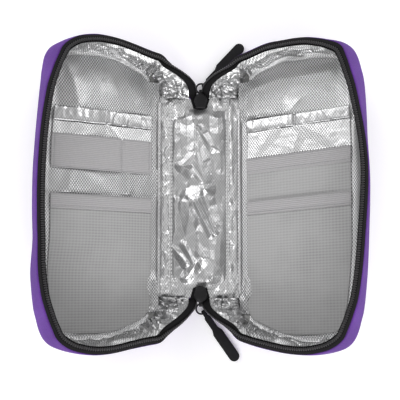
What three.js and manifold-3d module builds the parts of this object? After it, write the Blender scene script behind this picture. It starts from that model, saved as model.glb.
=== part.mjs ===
// Insulin cooling case: a soft zipped travel case that opens like a book.
// It lies on its flat spine with both halves held up in a shallow V.
// Millimetres, +Z up. X runs across the open case, Y along the spine,
// and the origin is the centre of the spine's outer face, where the case rests.
import * as THREE from "three";
import { mergeVertices } from "three/addons/utils/BufferGeometryUtils.js";
import Module from "manifold-3d";

const wasm = await Module();
wasm.setup();

// Driving dimensions of the case
const spineHalfWidth = 28; // from the middle of the spine to each hinge line
const openTilt = 24; // degrees, how far each half stands up from flat
const closedAngle = 90; // degrees, where the two halves meet
const baseReach = 88.9; // hinge line to the far edge of a half's back panel
const rimReach = 89.4; // hinge line to the far edge of a half's zipped rim
const baseHalfLength = 103.8; // half the length of a back panel
const rimHalfLength = 101.5; // half the length of a rim
const closingGap = 0.4; // from a zip coil to the closing plane
const edgeRadius = 5; // round edge between a back panel and its wall

// Layers of the case, from outside to inside
const fabricThickness = 0.9;
const foamThickness = 2.2;
const liningThickness = 0.8;
const layerGap = 0.3; // clearance between pieces that touch
const jointGap = 0.4; // clearance along a hinge line
const liningRadius = 7; // the lining turns up into the walls in a wide round

// Soft corners between the spine and the walls
const cornerStart = 70; // along the spine, where the corners leave the spine
const cornerLength = 20; // along the spine, from there to the stiff walls
const cornerSteps = 8;
const cornerRows = 4;

// Zip
const tapeRun = 5.2; // how far the tape leans in over the wall
const tapeRise = 1.8; // how far it rises above the wall
const tapeThickness = 0.6;
const tapeEdgeInset = 0.4; // tape edge to the outer face of the wall
const coilRadius = 0.8;
const coilSides = 6;

// Inside of the spine
const gussetHalfWidth = 18;
const gussetGap = 0.7; // between the gusset and each slider
const gussetThickness = 0.7;
const gussetRise = 2.4; // how far the loose foil stands off the lining
const gussetFolds = 7;
const gussetColumns = 14;
const bindingRadius = 1;
const bindingSides = 8;

// Pockets and bands: width of the flat ground that they are sewn to
const pocketNear = 1.2; // hinge line to a pocket's near edge
const pocketFar = 77.5; // hinge line to a pocket's far edge
const sheetThickness = 0.7;
const hemThickness = 1.1;
const pocketRise = 1.6; // how far a pocket stands off the lining at its hem
const pocketFoot = 91; // end of the back panel that the lower pockets reach
const leftFoilHemTop = 56;
const rightFoilHemTop = 55;
const foilHemWidth = 8.4;
const bandTop = 39;
const bandWidth = 23;
const lowMeshTop = -1;
const lowHemWidth = 9.6;
const rearMeshTop = 29;
const rearHemWidth = 10.4;
const frontMeshTop = -1.4;
const frontHemWidth = 9.2;
const leftHemSlope = 0.02; // rise per unit of width, as the hems are sewn
const rightHemSlope = 0.07;

// Sliders and pulls
const sliderLength = 10;
const sliderWidth = 9;
const sliderThickness = 4.4;
const sliderPlace = 67.2; // along the spine
const sliderOffset = 1; // to the right of the spine's middle line
const sliderLift = 0.9; // from the spine's lining to the slider
const sliderWaistShare = 0.36; // of the width, where the slider narrows towards the spine
const lugWidth = 2.4;
const lugLength = 3.2;
const lugHeight = 7;
const lugDrop = 4.2; // how far the lug reaches below the slider
const lugWall = 0.7; // below the hole for the ring
const ringRadius = 3.6; // to the middle of its wire
const ringWire = 1.3;
const ringHeading = 8; // degrees to the right of the spine's line
const topPullHeading = 43;
const bottomPullHeading = 35;
const pullGround = 0.4; // height of a pull's underside above the ground
const pullThickness = 3;
const eyeWidth = 3; // the neck's narrow end, with the tunnel for the ring
const eyeLength = 4.4;
const neckWidth = 4.6;
const neckLength = 13;
const tabWidth = 7.4;
const tabLength = 26.4;
const tabBevel = 0.5;

// Sampling of the round forms
const outlineSteps = 44;
const roundSteps = 3;
const cutOverrun = 6; // how far a cutting solid reaches past what it cuts

// Values that follow
const degree = Math.PI / 180;
const foamInset = fabricThickness + layerGap;
const liningInset = foamInset + foamThickness + layerGap;
const shellThickness = liningInset + liningThickness;
const hingeHeight = shellThickness;
const rimHeight = spineHalfWidth - closingGap;
const tapeFoot = rimHeight - 2 * coilRadius - tapeThickness - tapeRise; // height of the tape's outer edge
const coverTop = tapeFoot - layerGap;
const tapeStart = sliderPlace + sliderLength / 2 + lugLength / 2; // the tapes leave the sliders here
const cornerEnd = cornerStart + cornerLength;
const spineEnd = cornerStart - layerGap;
const gussetHalfLength = sliderPlace - sliderLength / 2 - gussetGap;

// Half outlines as shares of the reach (away from the hinge) and of the half length (along the spine)
const rimShares = [
  [0.15, 0.933], [0.285, 0.972], [0.425, 0.998], [0.56, 1], [0.67, 0.98], [0.755, 0.95],
  [0.83, 0.895], [0.868, 0.825], [0.905, 0.74], [0.945, 0.62], [0.978, 0.42], [0.995, 0.2], [1, 0],
];
const baseShares = [
  [0.17, 0.93], [0.34, 0.985], [0.5, 1], [0.64, 0.998], [0.735, 0.986], [0.815, 0.96],
  [0.87, 0.92], [0.905, 0.865], [0.93, 0.79], [0.955, 0.69], [0.982, 0.45], [0.997, 0.2], [1, 0],
];
const cornerShares = [[-0.04, 0.768], [0, 0.85], [0.068, 0.906]];
const cornerTurn = [-shellThickness, cornerStart]; // the outline leaves the spine's outer face here

function halfOutline(shares, reach, halfLength) {
  const quarter = [new THREE.Vector2(...cornerTurn)];
  for (const [u, v] of cornerShares) {
    quarter.push(new THREE.Vector2(u * rimReach, v * rimHalfLength));
  }
  for (const [u, v] of shares) {
    quarter.push(new THREE.Vector2(u * reach, v * halfLength));
  }
  const mirrored = quarter.slice(0, -1).reverse();
  const lower = mirrored.map((point) => new THREE.Vector2(point.x, -point.y));
  return new THREE.SplineCurve([...quarter, ...lower]);
}

const rimCurve = halfOutline(rimShares, rimReach, rimHalfLength);
const baseCurve = halfOutline(baseShares, baseReach, baseHalfLength);

// A point of the outline at a share of its length and at a height above the hinge plane
function outlinePoint(share, height) {
  const lift = THREE.MathUtils.clamp(height / coverTop, 0, 1);
  return baseCurve.getPoint(share).lerp(rimCurve.getPoint(share), lift);
}

// The same point, moved towards the inside of the case
function insetPoint(share, height, inset) {
  const small = 0.5 / (outlineSteps * 4);
  const before = outlinePoint(Math.max(share - small, 0), height);
  const after = outlinePoint(Math.min(share + small, 1), height);
  const along = after.sub(before).normalize();
  return outlinePoint(share, height).add(new THREE.Vector2(along.y, -along.x).multiplyScalar(inset));
}

// Closed bodies

function signedVolume(points, faces) {
  let volume = 0;
  for (const [a, b, c] of faces) {
    volume += points[a].dot(new THREE.Vector3().crossVectors(points[b], points[c]));
  }
  return volume;
}

function body(points, faces) {
  const outward = signedVolume(points, faces) > 0;
  const geometry = new THREE.BufferGeometry();
  geometry.setAttribute(
    "position",
    new THREE.Float32BufferAttribute(points.flatMap((point) => point.toArray()), 3),
  );
  geometry.setIndex(faces.flatMap(([a, b, c]) => (outward ? [a, b, c] : [a, c, b])));
  return geometry;
}

// A solid through rings of equal count, closed at both ends by fans
function loft(rings) {
  const count = rings[0].length;
  const points = rings.flat();
  const faces = [];
  for (let ring = 0; ring + 1 < rings.length; ring += 1) {
    for (let side = 0; side < count; side += 1) {
      const next = (side + 1) % count;
      const a = ring * count + side;
      const b = ring * count + next;
      faces.push([a, b, b + count], [a, b + count, a + count]);
    }
  }
  for (const start of [0, (rings.length - 1) * count]) {
    const middle = new THREE.Vector3();
    for (let side = 0; side < count; side += 1) {
      middle.addScaledVector(points[start + side], 1 / count);
    }
    const hub = points.push(middle) - 1;
    for (let side = 0; side < count; side += 1) {
      const next = (side + 1) % count;
      const edge = [start + side, start + next];
      faces.push(start === 0 ? [hub, edge[1], edge[0]] : [hub, edge[0], edge[1]]);
    }
  }
  return body(points, faces);
}

// A sheet between two grids of equal size: near and far hold rows of points
function sheet(near, far) {
  const rows = near.length;
  const columns = near[0].length;
  const points = [...near.flat(), ...far.flat()];
  const offset = rows * columns;
  const faces = [];
  const quad = (a, b, c, d) => faces.push([a, b, c], [a, c, d]);
  for (let row = 0; row + 1 < rows; row += 1) {
    for (let column = 0; column + 1 < columns; column += 1) {
      const a = row * columns + column;
      quad(a, a + 1, a + columns + 1, a + columns);
      quad(offset + a, offset + a + columns, offset + a + columns + 1, offset + a + 1);
    }
  }
  for (let column = 0; column + 1 < columns; column += 1) {
    const last = (rows - 1) * columns + column;
    quad(column, offset + column, offset + column + 1, column + 1);
    quad(last, last + 1, offset + last + 1, offset + last);
  }
  for (let row = 0; row + 1 < rows; row += 1) {
    const first = row * columns;
    const last = first + columns - 1;
    quad(first, first + columns, offset + first + columns, offset + first);
    quad(last, offset + last, offset + last + columns, last + columns);
  }
  return body(points, faces);
}

function solid(geometry) {
  const bare = geometry.clone();
  bare.deleteAttribute("normal");
  bare.deleteAttribute("uv");
  const merged = mergeVertices(bare);
  return new wasm.Manifold(new wasm.Mesh({
    numProp: 3,
    vertProperties: new Float32Array(merged.attributes.position.array),
    triVerts: new Uint32Array(merged.index.array),
  }));
}

function fromSolid(result) {
  const mesh = result.getMesh();
  const geometry = new THREE.BufferGeometry();
  geometry.setAttribute("position", new THREE.BufferAttribute(new Float32Array(mesh.vertProperties), 3));
  geometry.setIndex(new THREE.BufferAttribute(new Uint32Array(mesh.triVerts), 1));
  return geometry;
}

function box(low, high) {
  const size = high.map((value, axis) => value - low[axis]);
  const geometry = new THREE.BoxGeometry(...size);
  geometry.translate(...low.map((value, axis) => value + size[axis] / 2));
  return geometry;
}

// Half of the case in its own frame: u away from the hinge, v along the spine, h up from the hinge plane.
// side is -1 for the left half and 1 for the right half.

function ringAt(side, height, inset, nearEdge) {
  const ring = [];
  for (let step = 0; step <= outlineSteps; step += 1) {
    const share = step / outlineSteps;
    const place = insetPoint(share, height, inset);
    ring.push(new THREE.Vector3(side * Math.max(place.x, nearEdge), place.y, height));
  }
  return ring;
}

// A tub with a round lower edge, from its floor to its top. Its walls lean in up to the cover's
// top, and are upright from there on.
function tub(side, floor, top, inset, radius, nearEdge) {
  const rings = [];
  for (let step = 0; step <= roundSteps; step += 1) {
    const turn = (step / roundSteps) * Math.PI / 2;
    const height = floor + radius * (1 - Math.cos(turn));
    rings.push(ringAt(side, height, inset + radius * (1 - Math.sin(turn)), nearEdge));
  }
  if (top > coverTop) rings.push(ringAt(side, coverTop, inset, nearEdge));
  rings.push(ringAt(side, top, inset, nearEdge));
  return solid(loft(rings));
}

// Height at which a layer's walls end, under the leaning tape
function layerTop(inset) {
  return coverTop + tapeRise * Math.max(inset - tapeEdgeInset, 0) / tapeRun;
}

// One layer of the half: its panel and its three walls, open towards the spine and over it
function layer(side, inset, thickness, radius) {
  const floor = inset - shellThickness;
  const top = layerTop(inset);
  const innerRadius = Math.max(radius - thickness, fabricThickness);
  const outer = tub(side, floor, top, inset, radius, jointGap);
  const hollow = tub(side, floor + thickness, top + cutOverrun, inset + thickness, innerRadius, -cutOverrun);
  const across = [side * -cutOverrun, side * spineHalfWidth].sort((a, b) => a - b);
  const openCorners = solid(box(
    [across[0], -cornerEnd, layerGap],
    [across[1], cornerEnd, top + cutOverrun],
  ));
  return fromSolid(outer.subtract(hollow).subtract(openCorners));
}

// Share of the outline's length at which it reaches a place along the spine, on the upper quarter
function shareAt(along, height) {
  let low = 0;
  let high = 0.25;
  for (let round = 0; round < 40; round += 1) {
    const middle = (low + high) / 2;
    if (outlinePoint(middle, height).y < along) low = middle;
    else high = middle;
  }
  return (low + high) / 2;
}

// The stiff stretch of the rim, from one soft corner round to the other
function rimSweep(side, section) {
  const start = shareAt(cornerEnd, rimHeight);
  const rings = [];
  for (let step = 0; step <= outlineSteps; step += 1) {
    const share = THREE.MathUtils.lerp(start, 1 - start, step / outlineSteps);
    rings.push(section.map(([inset, height]) => {
      const place = insetPoint(share, rimHeight, inset);
      return new THREE.Vector3(side * place.x, place.y, height);
    }));
  }
  return loft(rings);
}

const tapeSection = [
  [tapeEdgeInset, tapeFoot],
  [tapeEdgeInset + tapeRun, tapeFoot + tapeRise],
  [tapeEdgeInset + tapeRun, tapeFoot + tapeRise + tapeThickness],
  [tapeEdgeInset, tapeFoot + tapeThickness],
];
const coilInset = tapeEdgeInset + tapeRun - coilRadius / 2;
const coilSquash = 1 - layerGap / (2 * coilRadius);

function coilSection() {
  const section = [];
  for (let corner = 0; corner < coilSides; corner += 1) {
    const turn = (corner / coilSides) * 2 * Math.PI;
    section.push([
      coilInset + coilRadius * Math.cos(turn),
      rimHeight - coilRadius * coilSquash + coilRadius * coilSquash * Math.sin(turn),
    ]);
  }
  return section;
}

// Soft corners. Their place follows how far along the spine a point lies: on the spine it stays
// where the closed case has it, and at the stiff wall it has turned open with the half.

function openShare(along) {
  const share = THREE.MathUtils.clamp((along - cornerStart) / (cornerEnd - cornerStart), 0, 1);
  return share * share * (3 - 2 * share);
}

function cornerPoint(side, end, share, height, inset) {
  const place = insetPoint(share, height, inset);
  const along = Math.max(place.y, cornerStart);
  const angle = (closedAngle - (closedAngle - openTilt) * openShare(along)) * degree;
  return new THREE.Vector3(
    side * (spineHalfWidth + place.x * Math.cos(angle) - height * Math.sin(angle)),
    end * along,
    hingeHeight + place.x * Math.sin(angle) + height * Math.cos(angle),
  );
}

function cornerLine(side, end, from, height, inset) {
  const first = shareAt(from, height);
  const last = shareAt(cornerEnd - layerGap, height);
  const line = [];
  for (let step = 0; step <= cornerSteps; step += 1) {
    const share = THREE.MathUtils.lerp(first, last, step / cornerSteps);
    line.push(cornerPoint(side, end, share, height, inset));
  }
  return line;
}

function cornerLayer(side, end, inset, thickness) {
  const grid = (depth) => {
    const rows = [];
    for (let row = 0; row <= cornerRows; row += 1) {
      const height = THREE.MathUtils.lerp(layerGap, layerTop(inset), row / cornerRows);
      rows.push(cornerLine(side, end, cornerStart, height, depth));
    }
    return rows;
  };
  return sheet(grid(inset), grid(inset + thickness));
}

function cornerTape(side, end) {
  const lines = tapeSection.map(([inset, height]) => cornerLine(side, end, tapeStart, height, inset));
  return sheet([lines[0], lines[1]], [lines[3], lines[2]]);
}

// Flat pieces sewn to the inside of a half: a slanted strip from its lower to its upper edge,
// standing off the lining by a lift at each edge
function strip(side, near, far, lower, upper, slope, lowerLift, upperLift, thickness) {
  const middle = (near + far) / 2;
  const columns = 6;
  const grid = (extra) => [[lower, lowerLift], [upper, upperLift]].map(([edge, lift]) => {
    const line = [];
    for (let column = 0; column <= columns; column += 1) {
      const across = THREE.MathUtils.lerp(near, far, column / columns);
      const crown = Math.sin(Math.PI * column / columns) * lift;
      line.push(new THREE.Vector3(
        side * across,
        edge + slope * (across - middle),
        layerGap + crown + extra,
      ));
    }
    return line;
  });
  const ground = tub(side, 0, coverTop, shellThickness + layerGap, liningRadius - liningThickness, jointGap);
  return fromSolid(solid(sheet(grid(0), grid(thickness))).intersect(ground));
}

// Spine

function spineLayer(inset, thickness) {
  const across = spineHalfWidth - jointGap;
  return box([-across, -spineEnd, inset], [across, spineEnd, inset + thickness]);
}

function gusset() {
  const grid = (extra) => {
    const rows = [];
    for (let row = 0; row <= gussetFolds * 2; row += 1) {
      const along = THREE.MathUtils.lerp(-gussetHalfLength, gussetHalfLength, row / (gussetFolds * 2));
      const line = [];
      for (let column = 0; column <= gussetColumns; column += 1) {
        const share = column / gussetColumns;
        const across = THREE.MathUtils.lerp(-gussetHalfWidth, gussetHalfWidth, share);
        const crown = Math.sin(Math.PI * share);
        const fold = (1 + Math.cos((row + column) * Math.PI)) / 2;
        const rise = gussetRise * crown * (1 + fold) / 2;
        line.push(new THREE.Vector3(across, along, hingeHeight + layerGap + rise + extra));
      }
      rows.push(line);
    }
    return rows;
  };
  return sheet(grid(0), grid(gussetThickness));
}

function rod(radius, sides, from, to) {
  const ring = (along) => {
    const points = [];
    for (let corner = 0; corner < sides; corner += 1) {
      const turn = (corner / sides) * 2 * Math.PI;
      points.push(new THREE.Vector3(radius * Math.cos(turn), along, radius * Math.sin(turn)));
    }
    return points;
  };
  return loft([ring(from), ring(to)]);
}

// The folded fabric at a hinge line, on the outside: a skin round the hinge line that fills
// the angle between the spine's outer face and the half's outer face
function hingeFold(side) {
  const steps = 4;
  const margin = Math.asin(jointGap / shellThickness) + layerGap / shellThickness;
  const from = -Math.PI / 2 + margin;
  const to = -Math.PI / 2 + openTilt * degree - margin;
  const grid = (radius) => {
    const rows = [];
    for (let step = 0; step <= steps; step += 1) {
      const turn = THREE.MathUtils.lerp(from, to, step / steps);
      rows.push([-spineEnd, spineEnd].map((along) => new THREE.Vector3(
        side * radius * Math.cos(turn),
        along,
        radius * Math.sin(turn),
      )));
    }
    return rows;
  };
  return sheet(grid(shellThickness), grid(shellThickness - fabricThickness));
}

// Sliders and pulls, in a frame whose +Y points the way that the pull lies

function roundedPlate(points, thickness, bevel) {
  const shape = new THREE.Shape(points);
  const geometry = new THREE.ExtrudeGeometry(shape, {
    depth: thickness - 2 * bevel,
    bevelEnabled: bevel > 0,
    bevelThickness: bevel,
    bevelSize: bevel,
    bevelOffset: -bevel,
    bevelSegments: 1,
  });
  geometry.translate(0, 0, bevel);
  return geometry;
}

function arcPoints(radius, along, from, to, steps) {
  const points = [];
  for (let step = 0; step <= steps; step += 1) {
    const turn = THREE.MathUtils.lerp(from, to, step / steps);
    points.push(new THREE.Vector2(radius * Math.cos(turn), along + radius * Math.sin(turn)));
  }
  return points;
}

const lugMiddle = sliderLength / 2 + lugLength / 2;
const holeSide = ringWire + 2 * layerGap;
const eyeHeight = lugWall + holeSide / 2 - lugDrop;

function slider() {
  const waist = sliderWidth * sliderWaistShare;
  const outline = [
    ...arcPoints(sliderWidth / 2, sliderLength / 2 - sliderWidth / 2, 0, Math.PI, 8),
    new THREE.Vector2(-waist, -sliderLength / 2),
    new THREE.Vector2(waist, -sliderLength / 2),
  ];
  const lug = box(
    [-lugWidth / 2, sliderLength / 2 - lugLength / 4, -lugDrop],
    [lugWidth / 2, sliderLength / 2 + lugLength, lugHeight - lugDrop],
  );
  const hole = box(
    [-lugWidth, lugMiddle - holeSide / 2, eyeHeight - holeSide / 2],
    [lugWidth, lugMiddle + holeSide / 2, eyeHeight + holeSide / 2],
  );
  const plate = solid(roundedPlate(outline, sliderThickness, tabBevel));
  return fromSolid(plate.add(solid(lug)).subtract(solid(hole)));
}

function pullRing() {
  const ring = new THREE.TorusGeometry(ringRadius, ringWire / 2, 6, 16);
  ring.translate(0, ringRadius, 0);
  return fromSolid(solid(ring));
}

// The rubber pull, from the tunnel for the ring at its origin to its round end
function pullTab() {
  const half = tabWidth / 2;
  const eye = eyeWidth / 2;
  const neck = neckWidth / 2;
  const neckStart = eyeLength / 2 + layerGap;
  const shoulder = neckLength + half;
  const outline = [
    new THREE.Vector2(-eye, -eyeLength / 2),
    new THREE.Vector2(eye, -eyeLength / 2),
    new THREE.Vector2(eye, neckStart),
    new THREE.Vector2(neck, neckStart + neck / 2),
    new THREE.Vector2(neck, neckLength),
    new THREE.Vector2(half, shoulder),
    ...arcPoints(half, neckLength + tabLength - half, 0, Math.PI, 8),
    new THREE.Vector2(-half, shoulder),
    new THREE.Vector2(-neck, neckLength),
    new THREE.Vector2(-neck, neckStart + neck / 2),
    new THREE.Vector2(-eye, neckStart),
  ];
  const plate = roundedPlate(outline, pullThickness, tabBevel);
  plate.translate(0, 0, -pullThickness / 2);
  const tunnel = box(
    [-eyeWidth, -holeSide / 2 - layerGap, -holeSide / 2],
    [eyeWidth, holeSide / 2, holeSide / 2],
  );
  return fromSolid(solid(plate).subtract(solid(tunnel)));
}

// Materials

function finish(color, roughness, metalness) {
  return () => new THREE.MeshStandardMaterial({ color, roughness, metalness });
}

const purpleFabric = finish(0x7a4faa, 0.85, 0);
const paleFoam = finish(0xdfe0dc, 0.95, 0);
const foil = finish(0xc8c9cc, 0.3, 0.9);
const blackTape = finish(0x1b1a1c, 0.8, 0);
const blackCoil = finish(0x121213, 0.45, 0);
const greyElastic = finish(0xa2a3a3, 0.9, 0);
const greyMesh = finish(0x96958f, 0.85, 0);
const darkMetal = finish(0x17171a, 0.4, 0.6);
const blackRubber = finish(0x1d1d1f, 0.6, 0);

// Assembly

const insulinCase = new THREE.Group();

function add(parent, name, geometry, material) {
  const mesh = new THREE.Mesh(geometry, material());
  mesh.name = name;
  parent.add(mesh);
  return mesh;
}

add(insulinCase, "spine_outer_cover", spineLayer(0, fabricThickness), purpleFabric);
add(insulinCase, "spine_foam", spineLayer(foamInset, foamThickness), paleFoam);
add(insulinCase, "spine_foil_lining", spineLayer(liningInset, liningThickness - bindingRadius / 4), foil);
add(insulinCase, "spine_foil_gusset", gusset(), foil);

const sides = [["left", -1], ["right", 1]];
const ends = [["top", 1], ["bottom", -1]];

for (const [sideName, side] of sides) {
  const hinge = new THREE.Group();
  hinge.position.set(side * spineHalfWidth, 0, hingeHeight);
  insulinCase.add(hinge);
  add(hinge, `${sideName}_hinge_fold`, hingeFold(side), purpleFabric);
  const binding = add(
    hinge,
    `${sideName}_seam_binding`,
    rod(bindingRadius, bindingSides, -cornerStart + bindingRadius, cornerStart - bindingRadius),
    foil,
  );
  binding.position.z = bindingRadius + layerGap;

  const half = new THREE.Group();
  half.rotation.y = -side * openTilt * degree;
  hinge.add(half);
  add(half, `${sideName}_outer_cover`, layer(side, 0, fabricThickness, edgeRadius), purpleFabric);
  add(half, `${sideName}_foam_core`, layer(side, foamInset, foamThickness, edgeRadius - foamInset), paleFoam);
  add(half, `${sideName}_foil_lining`, layer(side, liningInset, liningThickness, liningRadius), foil);
  add(half, `${sideName}_zip_tape`, rimSweep(side, tapeSection), blackTape);
  add(half, `${sideName}_zip_coil`, rimSweep(side, coilSection()), blackCoil);

  const slope = side < 0 ? leftHemSlope : rightHemSlope;
  const sewn = (name, lower, upper, lowerLift, upperLift, thickness, material) => add(
    half,
    `${sideName}_${name}`,
    strip(side, pocketNear, pocketFar, lower, upper, slope, lowerLift, upperLift, thickness),
    material,
  );
  const lowerEdge = (top, width) => top - width;
  const foilHemTop = side < 0 ? leftFoilHemTop : rightFoilHemTop;
  const foilHemFoot = lowerEdge(foilHemTop, foilHemWidth);
  if (side < 0) {
    const foilFoot = bandTop + layerGap;
    sewn("foil_pocket", foilFoot, foilHemFoot - layerGap, 0, pocketRise, sheetThickness, foil);
    sewn("foil_pocket_hem", foilHemFoot, foilHemTop, pocketRise, pocketRise, hemThickness, foil);
    sewn("elastic_band", lowerEdge(bandTop, bandWidth), bandTop, pocketRise, pocketRise,
      hemThickness, greyElastic);
    const hemFoot = lowerEdge(lowMeshTop, lowHemWidth);
    sewn("mesh_pocket", -pocketFoot, hemFoot - layerGap, 0, pocketRise, sheetThickness, greyMesh);
    sewn("mesh_pocket_hem", hemFoot, lowMeshTop, pocketRise, pocketRise, hemThickness, greyElastic);
  } else {
    const rearHemFoot = lowerEdge(rearMeshTop, rearHemWidth);
    const frontHemFoot = lowerEdge(frontMeshTop, frontHemWidth);
    sewn("foil_pocket", rearMeshTop + layerGap, foilHemFoot - layerGap, 0, pocketRise, sheetThickness, foil);
    sewn("foil_pocket_hem", foilHemFoot, foilHemTop, pocketRise, pocketRise, hemThickness, foil);
    sewn("rear_mesh_pocket", frontMeshTop + layerGap, rearHemFoot - layerGap, 0, pocketRise,
      sheetThickness, greyMesh);
    sewn("rear_mesh_hem", rearHemFoot, rearMeshTop, pocketRise, pocketRise, hemThickness, greyElastic);
    sewn("front_mesh_pocket", -pocketFoot, frontHemFoot - layerGap, 0, pocketRise, sheetThickness, greyMesh);
    sewn("front_mesh_hem", frontHemFoot, frontMeshTop, pocketRise, pocketRise, hemThickness, greyElastic);
  }

  for (const [endName, end] of ends) {
    const corner = `${sideName}_${endName}_corner`;
    add(insulinCase, `${corner}_cover`, cornerLayer(side, end, 0, fabricThickness), purpleFabric);
    add(insulinCase, `${corner}_foam`, cornerLayer(side, end, foamInset, foamThickness), paleFoam);
    add(insulinCase, `${corner}_lining`, cornerLayer(side, end, liningInset, liningThickness), foil);
    add(insulinCase, `${corner}_zip_tape`, cornerTape(side, end), blackTape);
  }
}

// Each slider with its ring and its pull, which lies out over the ground to the right
const pullHeadings = { top: topPullHeading, bottom: bottomPullHeading };
for (const [endName, end] of ends) {
  const seat = new THREE.Group();
  seat.position.set(sliderOffset, end * sliderPlace, hingeHeight + sliderLift);
  seat.rotation.z = end > 0 ? 0 : Math.PI;
  insulinCase.add(seat);
  add(seat, `${endName}_slider`, slider(), darkMetal);

  const ringDrop = seat.position.z + eyeHeight - pullGround - pullThickness / 2;
  const ringFrame = new THREE.Group();
  ringFrame.rotation.order = "ZXY";
  ringFrame.rotation.z = -end * ringHeading * degree;
  ringFrame.rotation.x = -Math.asin(ringDrop / (2 * ringRadius));
  ringFrame.position.set(0, lugMiddle, eyeHeight);
  seat.add(ringFrame);
  add(ringFrame, `${endName}_pull_ring`, pullRing(), darkMetal);

  // the pull's tunnel sits on the ring where the ring runs square to the pull
  const heading = -end * pullHeadings[endName] * degree;
  const tabFrame = new THREE.Group();
  ringFrame.updateMatrix();
  tabFrame.position.set(0, ringRadius, 0).applyMatrix4(ringFrame.matrix);
  tabFrame.position.x -= ringRadius * Math.sin(heading);
  tabFrame.position.y += ringRadius * Math.cos(heading);
  tabFrame.position.z = pullGround + pullThickness / 2 - seat.position.z;
  tabFrame.rotation.z = heading;
  seat.add(tabFrame);
  add(tabFrame, `${endName}_pull_tab`, pullTab(), blackRubber);
}

export default insulinCase;
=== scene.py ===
"""Looks of the insulin cooling case: fabric, foil, zip, pockets, slider and pulls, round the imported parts."""

import math

import bmesh
import bpy
import numpy as np
from bpy.props import FloatProperty, FloatVectorProperty, IntProperty
from mathutils import Matrix, Vector


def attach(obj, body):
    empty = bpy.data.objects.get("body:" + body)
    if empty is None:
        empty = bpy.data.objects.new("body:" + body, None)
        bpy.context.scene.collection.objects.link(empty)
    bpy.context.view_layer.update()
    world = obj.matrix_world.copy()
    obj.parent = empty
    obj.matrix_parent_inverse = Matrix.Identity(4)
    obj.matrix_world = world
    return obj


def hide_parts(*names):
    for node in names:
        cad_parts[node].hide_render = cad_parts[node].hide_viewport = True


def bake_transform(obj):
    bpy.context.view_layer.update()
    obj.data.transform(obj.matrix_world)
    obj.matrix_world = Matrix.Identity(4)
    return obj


bl_info = {
    "name": "Insulin cooling case",
    "version": (1, 0, 0),
    "blender": (4, 5, 0),
    "location": "3D View > Sidebar > Cooling case",
    "description": "Builds the fabric, foil, zip and pockets of a cooling case round its packed parts",
    "category": "Object",
}

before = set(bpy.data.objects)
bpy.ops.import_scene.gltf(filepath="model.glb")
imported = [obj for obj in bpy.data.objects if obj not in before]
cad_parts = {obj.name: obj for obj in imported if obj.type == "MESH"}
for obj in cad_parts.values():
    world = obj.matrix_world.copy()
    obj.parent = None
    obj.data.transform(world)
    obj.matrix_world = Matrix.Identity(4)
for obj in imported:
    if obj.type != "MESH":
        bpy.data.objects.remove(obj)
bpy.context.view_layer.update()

SIDES = (("left", -1), ("right", 1))
ENDS = (("top", 1), ("bottom", -1))

# Outlines of a half, as shares of its reach and of its half length, as in the part
RIM_SHARES = (
    (0.15, 0.933), (0.285, 0.972), (0.425, 0.998), (0.56, 1), (0.67, 0.98), (0.755, 0.95),
    (0.83, 0.895), (0.868, 0.825), (0.905, 0.74), (0.945, 0.62), (0.978, 0.42), (0.995, 0.2), (1, 0),
)
BASE_SHARES = (
    (0.17, 0.93), (0.34, 0.985), (0.5, 1), (0.64, 0.998), (0.735, 0.986), (0.815, 0.96),
    (0.87, 0.92), (0.905, 0.865), (0.93, 0.79), (0.955, 0.69), (0.982, 0.45), (0.997, 0.2), (1, 0),
)
CORNER_SHARES = ((-0.04, 0.768), (0, 0.85), (0.068, 0.906))

SHELL = 0.0045  # from the outer face of a panel to the foil, which is also the height of a hinge line
COVER = 0.0009
FOAM = 0.0022
LINING = 0.0006
LAYER_GAP = 0.0003
EDGE_RADIUS = 0.005
LINING_RADIUS = 0.0062
CORNER_START = 0.07  # along the spine, where a soft corner leaves the spine
CORNER_END = 0.09  # and where it joins the stiff wall
HINGE_END = 0.0868  # along the spine, the end of a panel's edge at the hinge line
HINGE_GAP = 0.0004  # from the hinge line to that edge
COVER_TOP = 0.0233  # height of the covers' upper edge above the foil of a panel
TAPE = 0.0005
TAPE_RUN = 0.0052  # width of a zip tape on a rim
TAPE_RISE = 0.0018
TAPE_EDGE = 0.0004
SLIDER_PLACE = 0.0672  # along the spine
SLIDER_OFFSET = 0.001
SLIDER_SEAT = SHELL + 0.0009  # height of a slider's underside
SPINE_EDGE = 0.0002  # from the sheets of the spine to a hinge line
SPINE_HALF_LENGTH = 0.0699
BINDING_HALF_LENGTH = 0.0689
BINDING_HEIGHT = 0.0058
POCKET_NEAR = 0.0012
POCKET_FAR = 0.0775
LEAN_START = 0.0735  # along the spine, where the zip starts to lean over
LEAN_RUN = 0.0225
OUTLINE_LENGTH = 0.44
HALF_MIDDLE = {side: (side * 0.066, 0.0, 0.04) for _, side in SIDES}
UP, DOWN = Vector((0, 0, 1)), Vector((0, 0, -1))


def length(name, description, default):
    return FloatProperty(name=name, description=description, default=default, unit="LENGTH", precision=5)


def tint(name, description, default):
    return FloatVectorProperty(
        name=name, description=description, subtype="COLOR", default=default, min=0, max=1)


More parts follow.
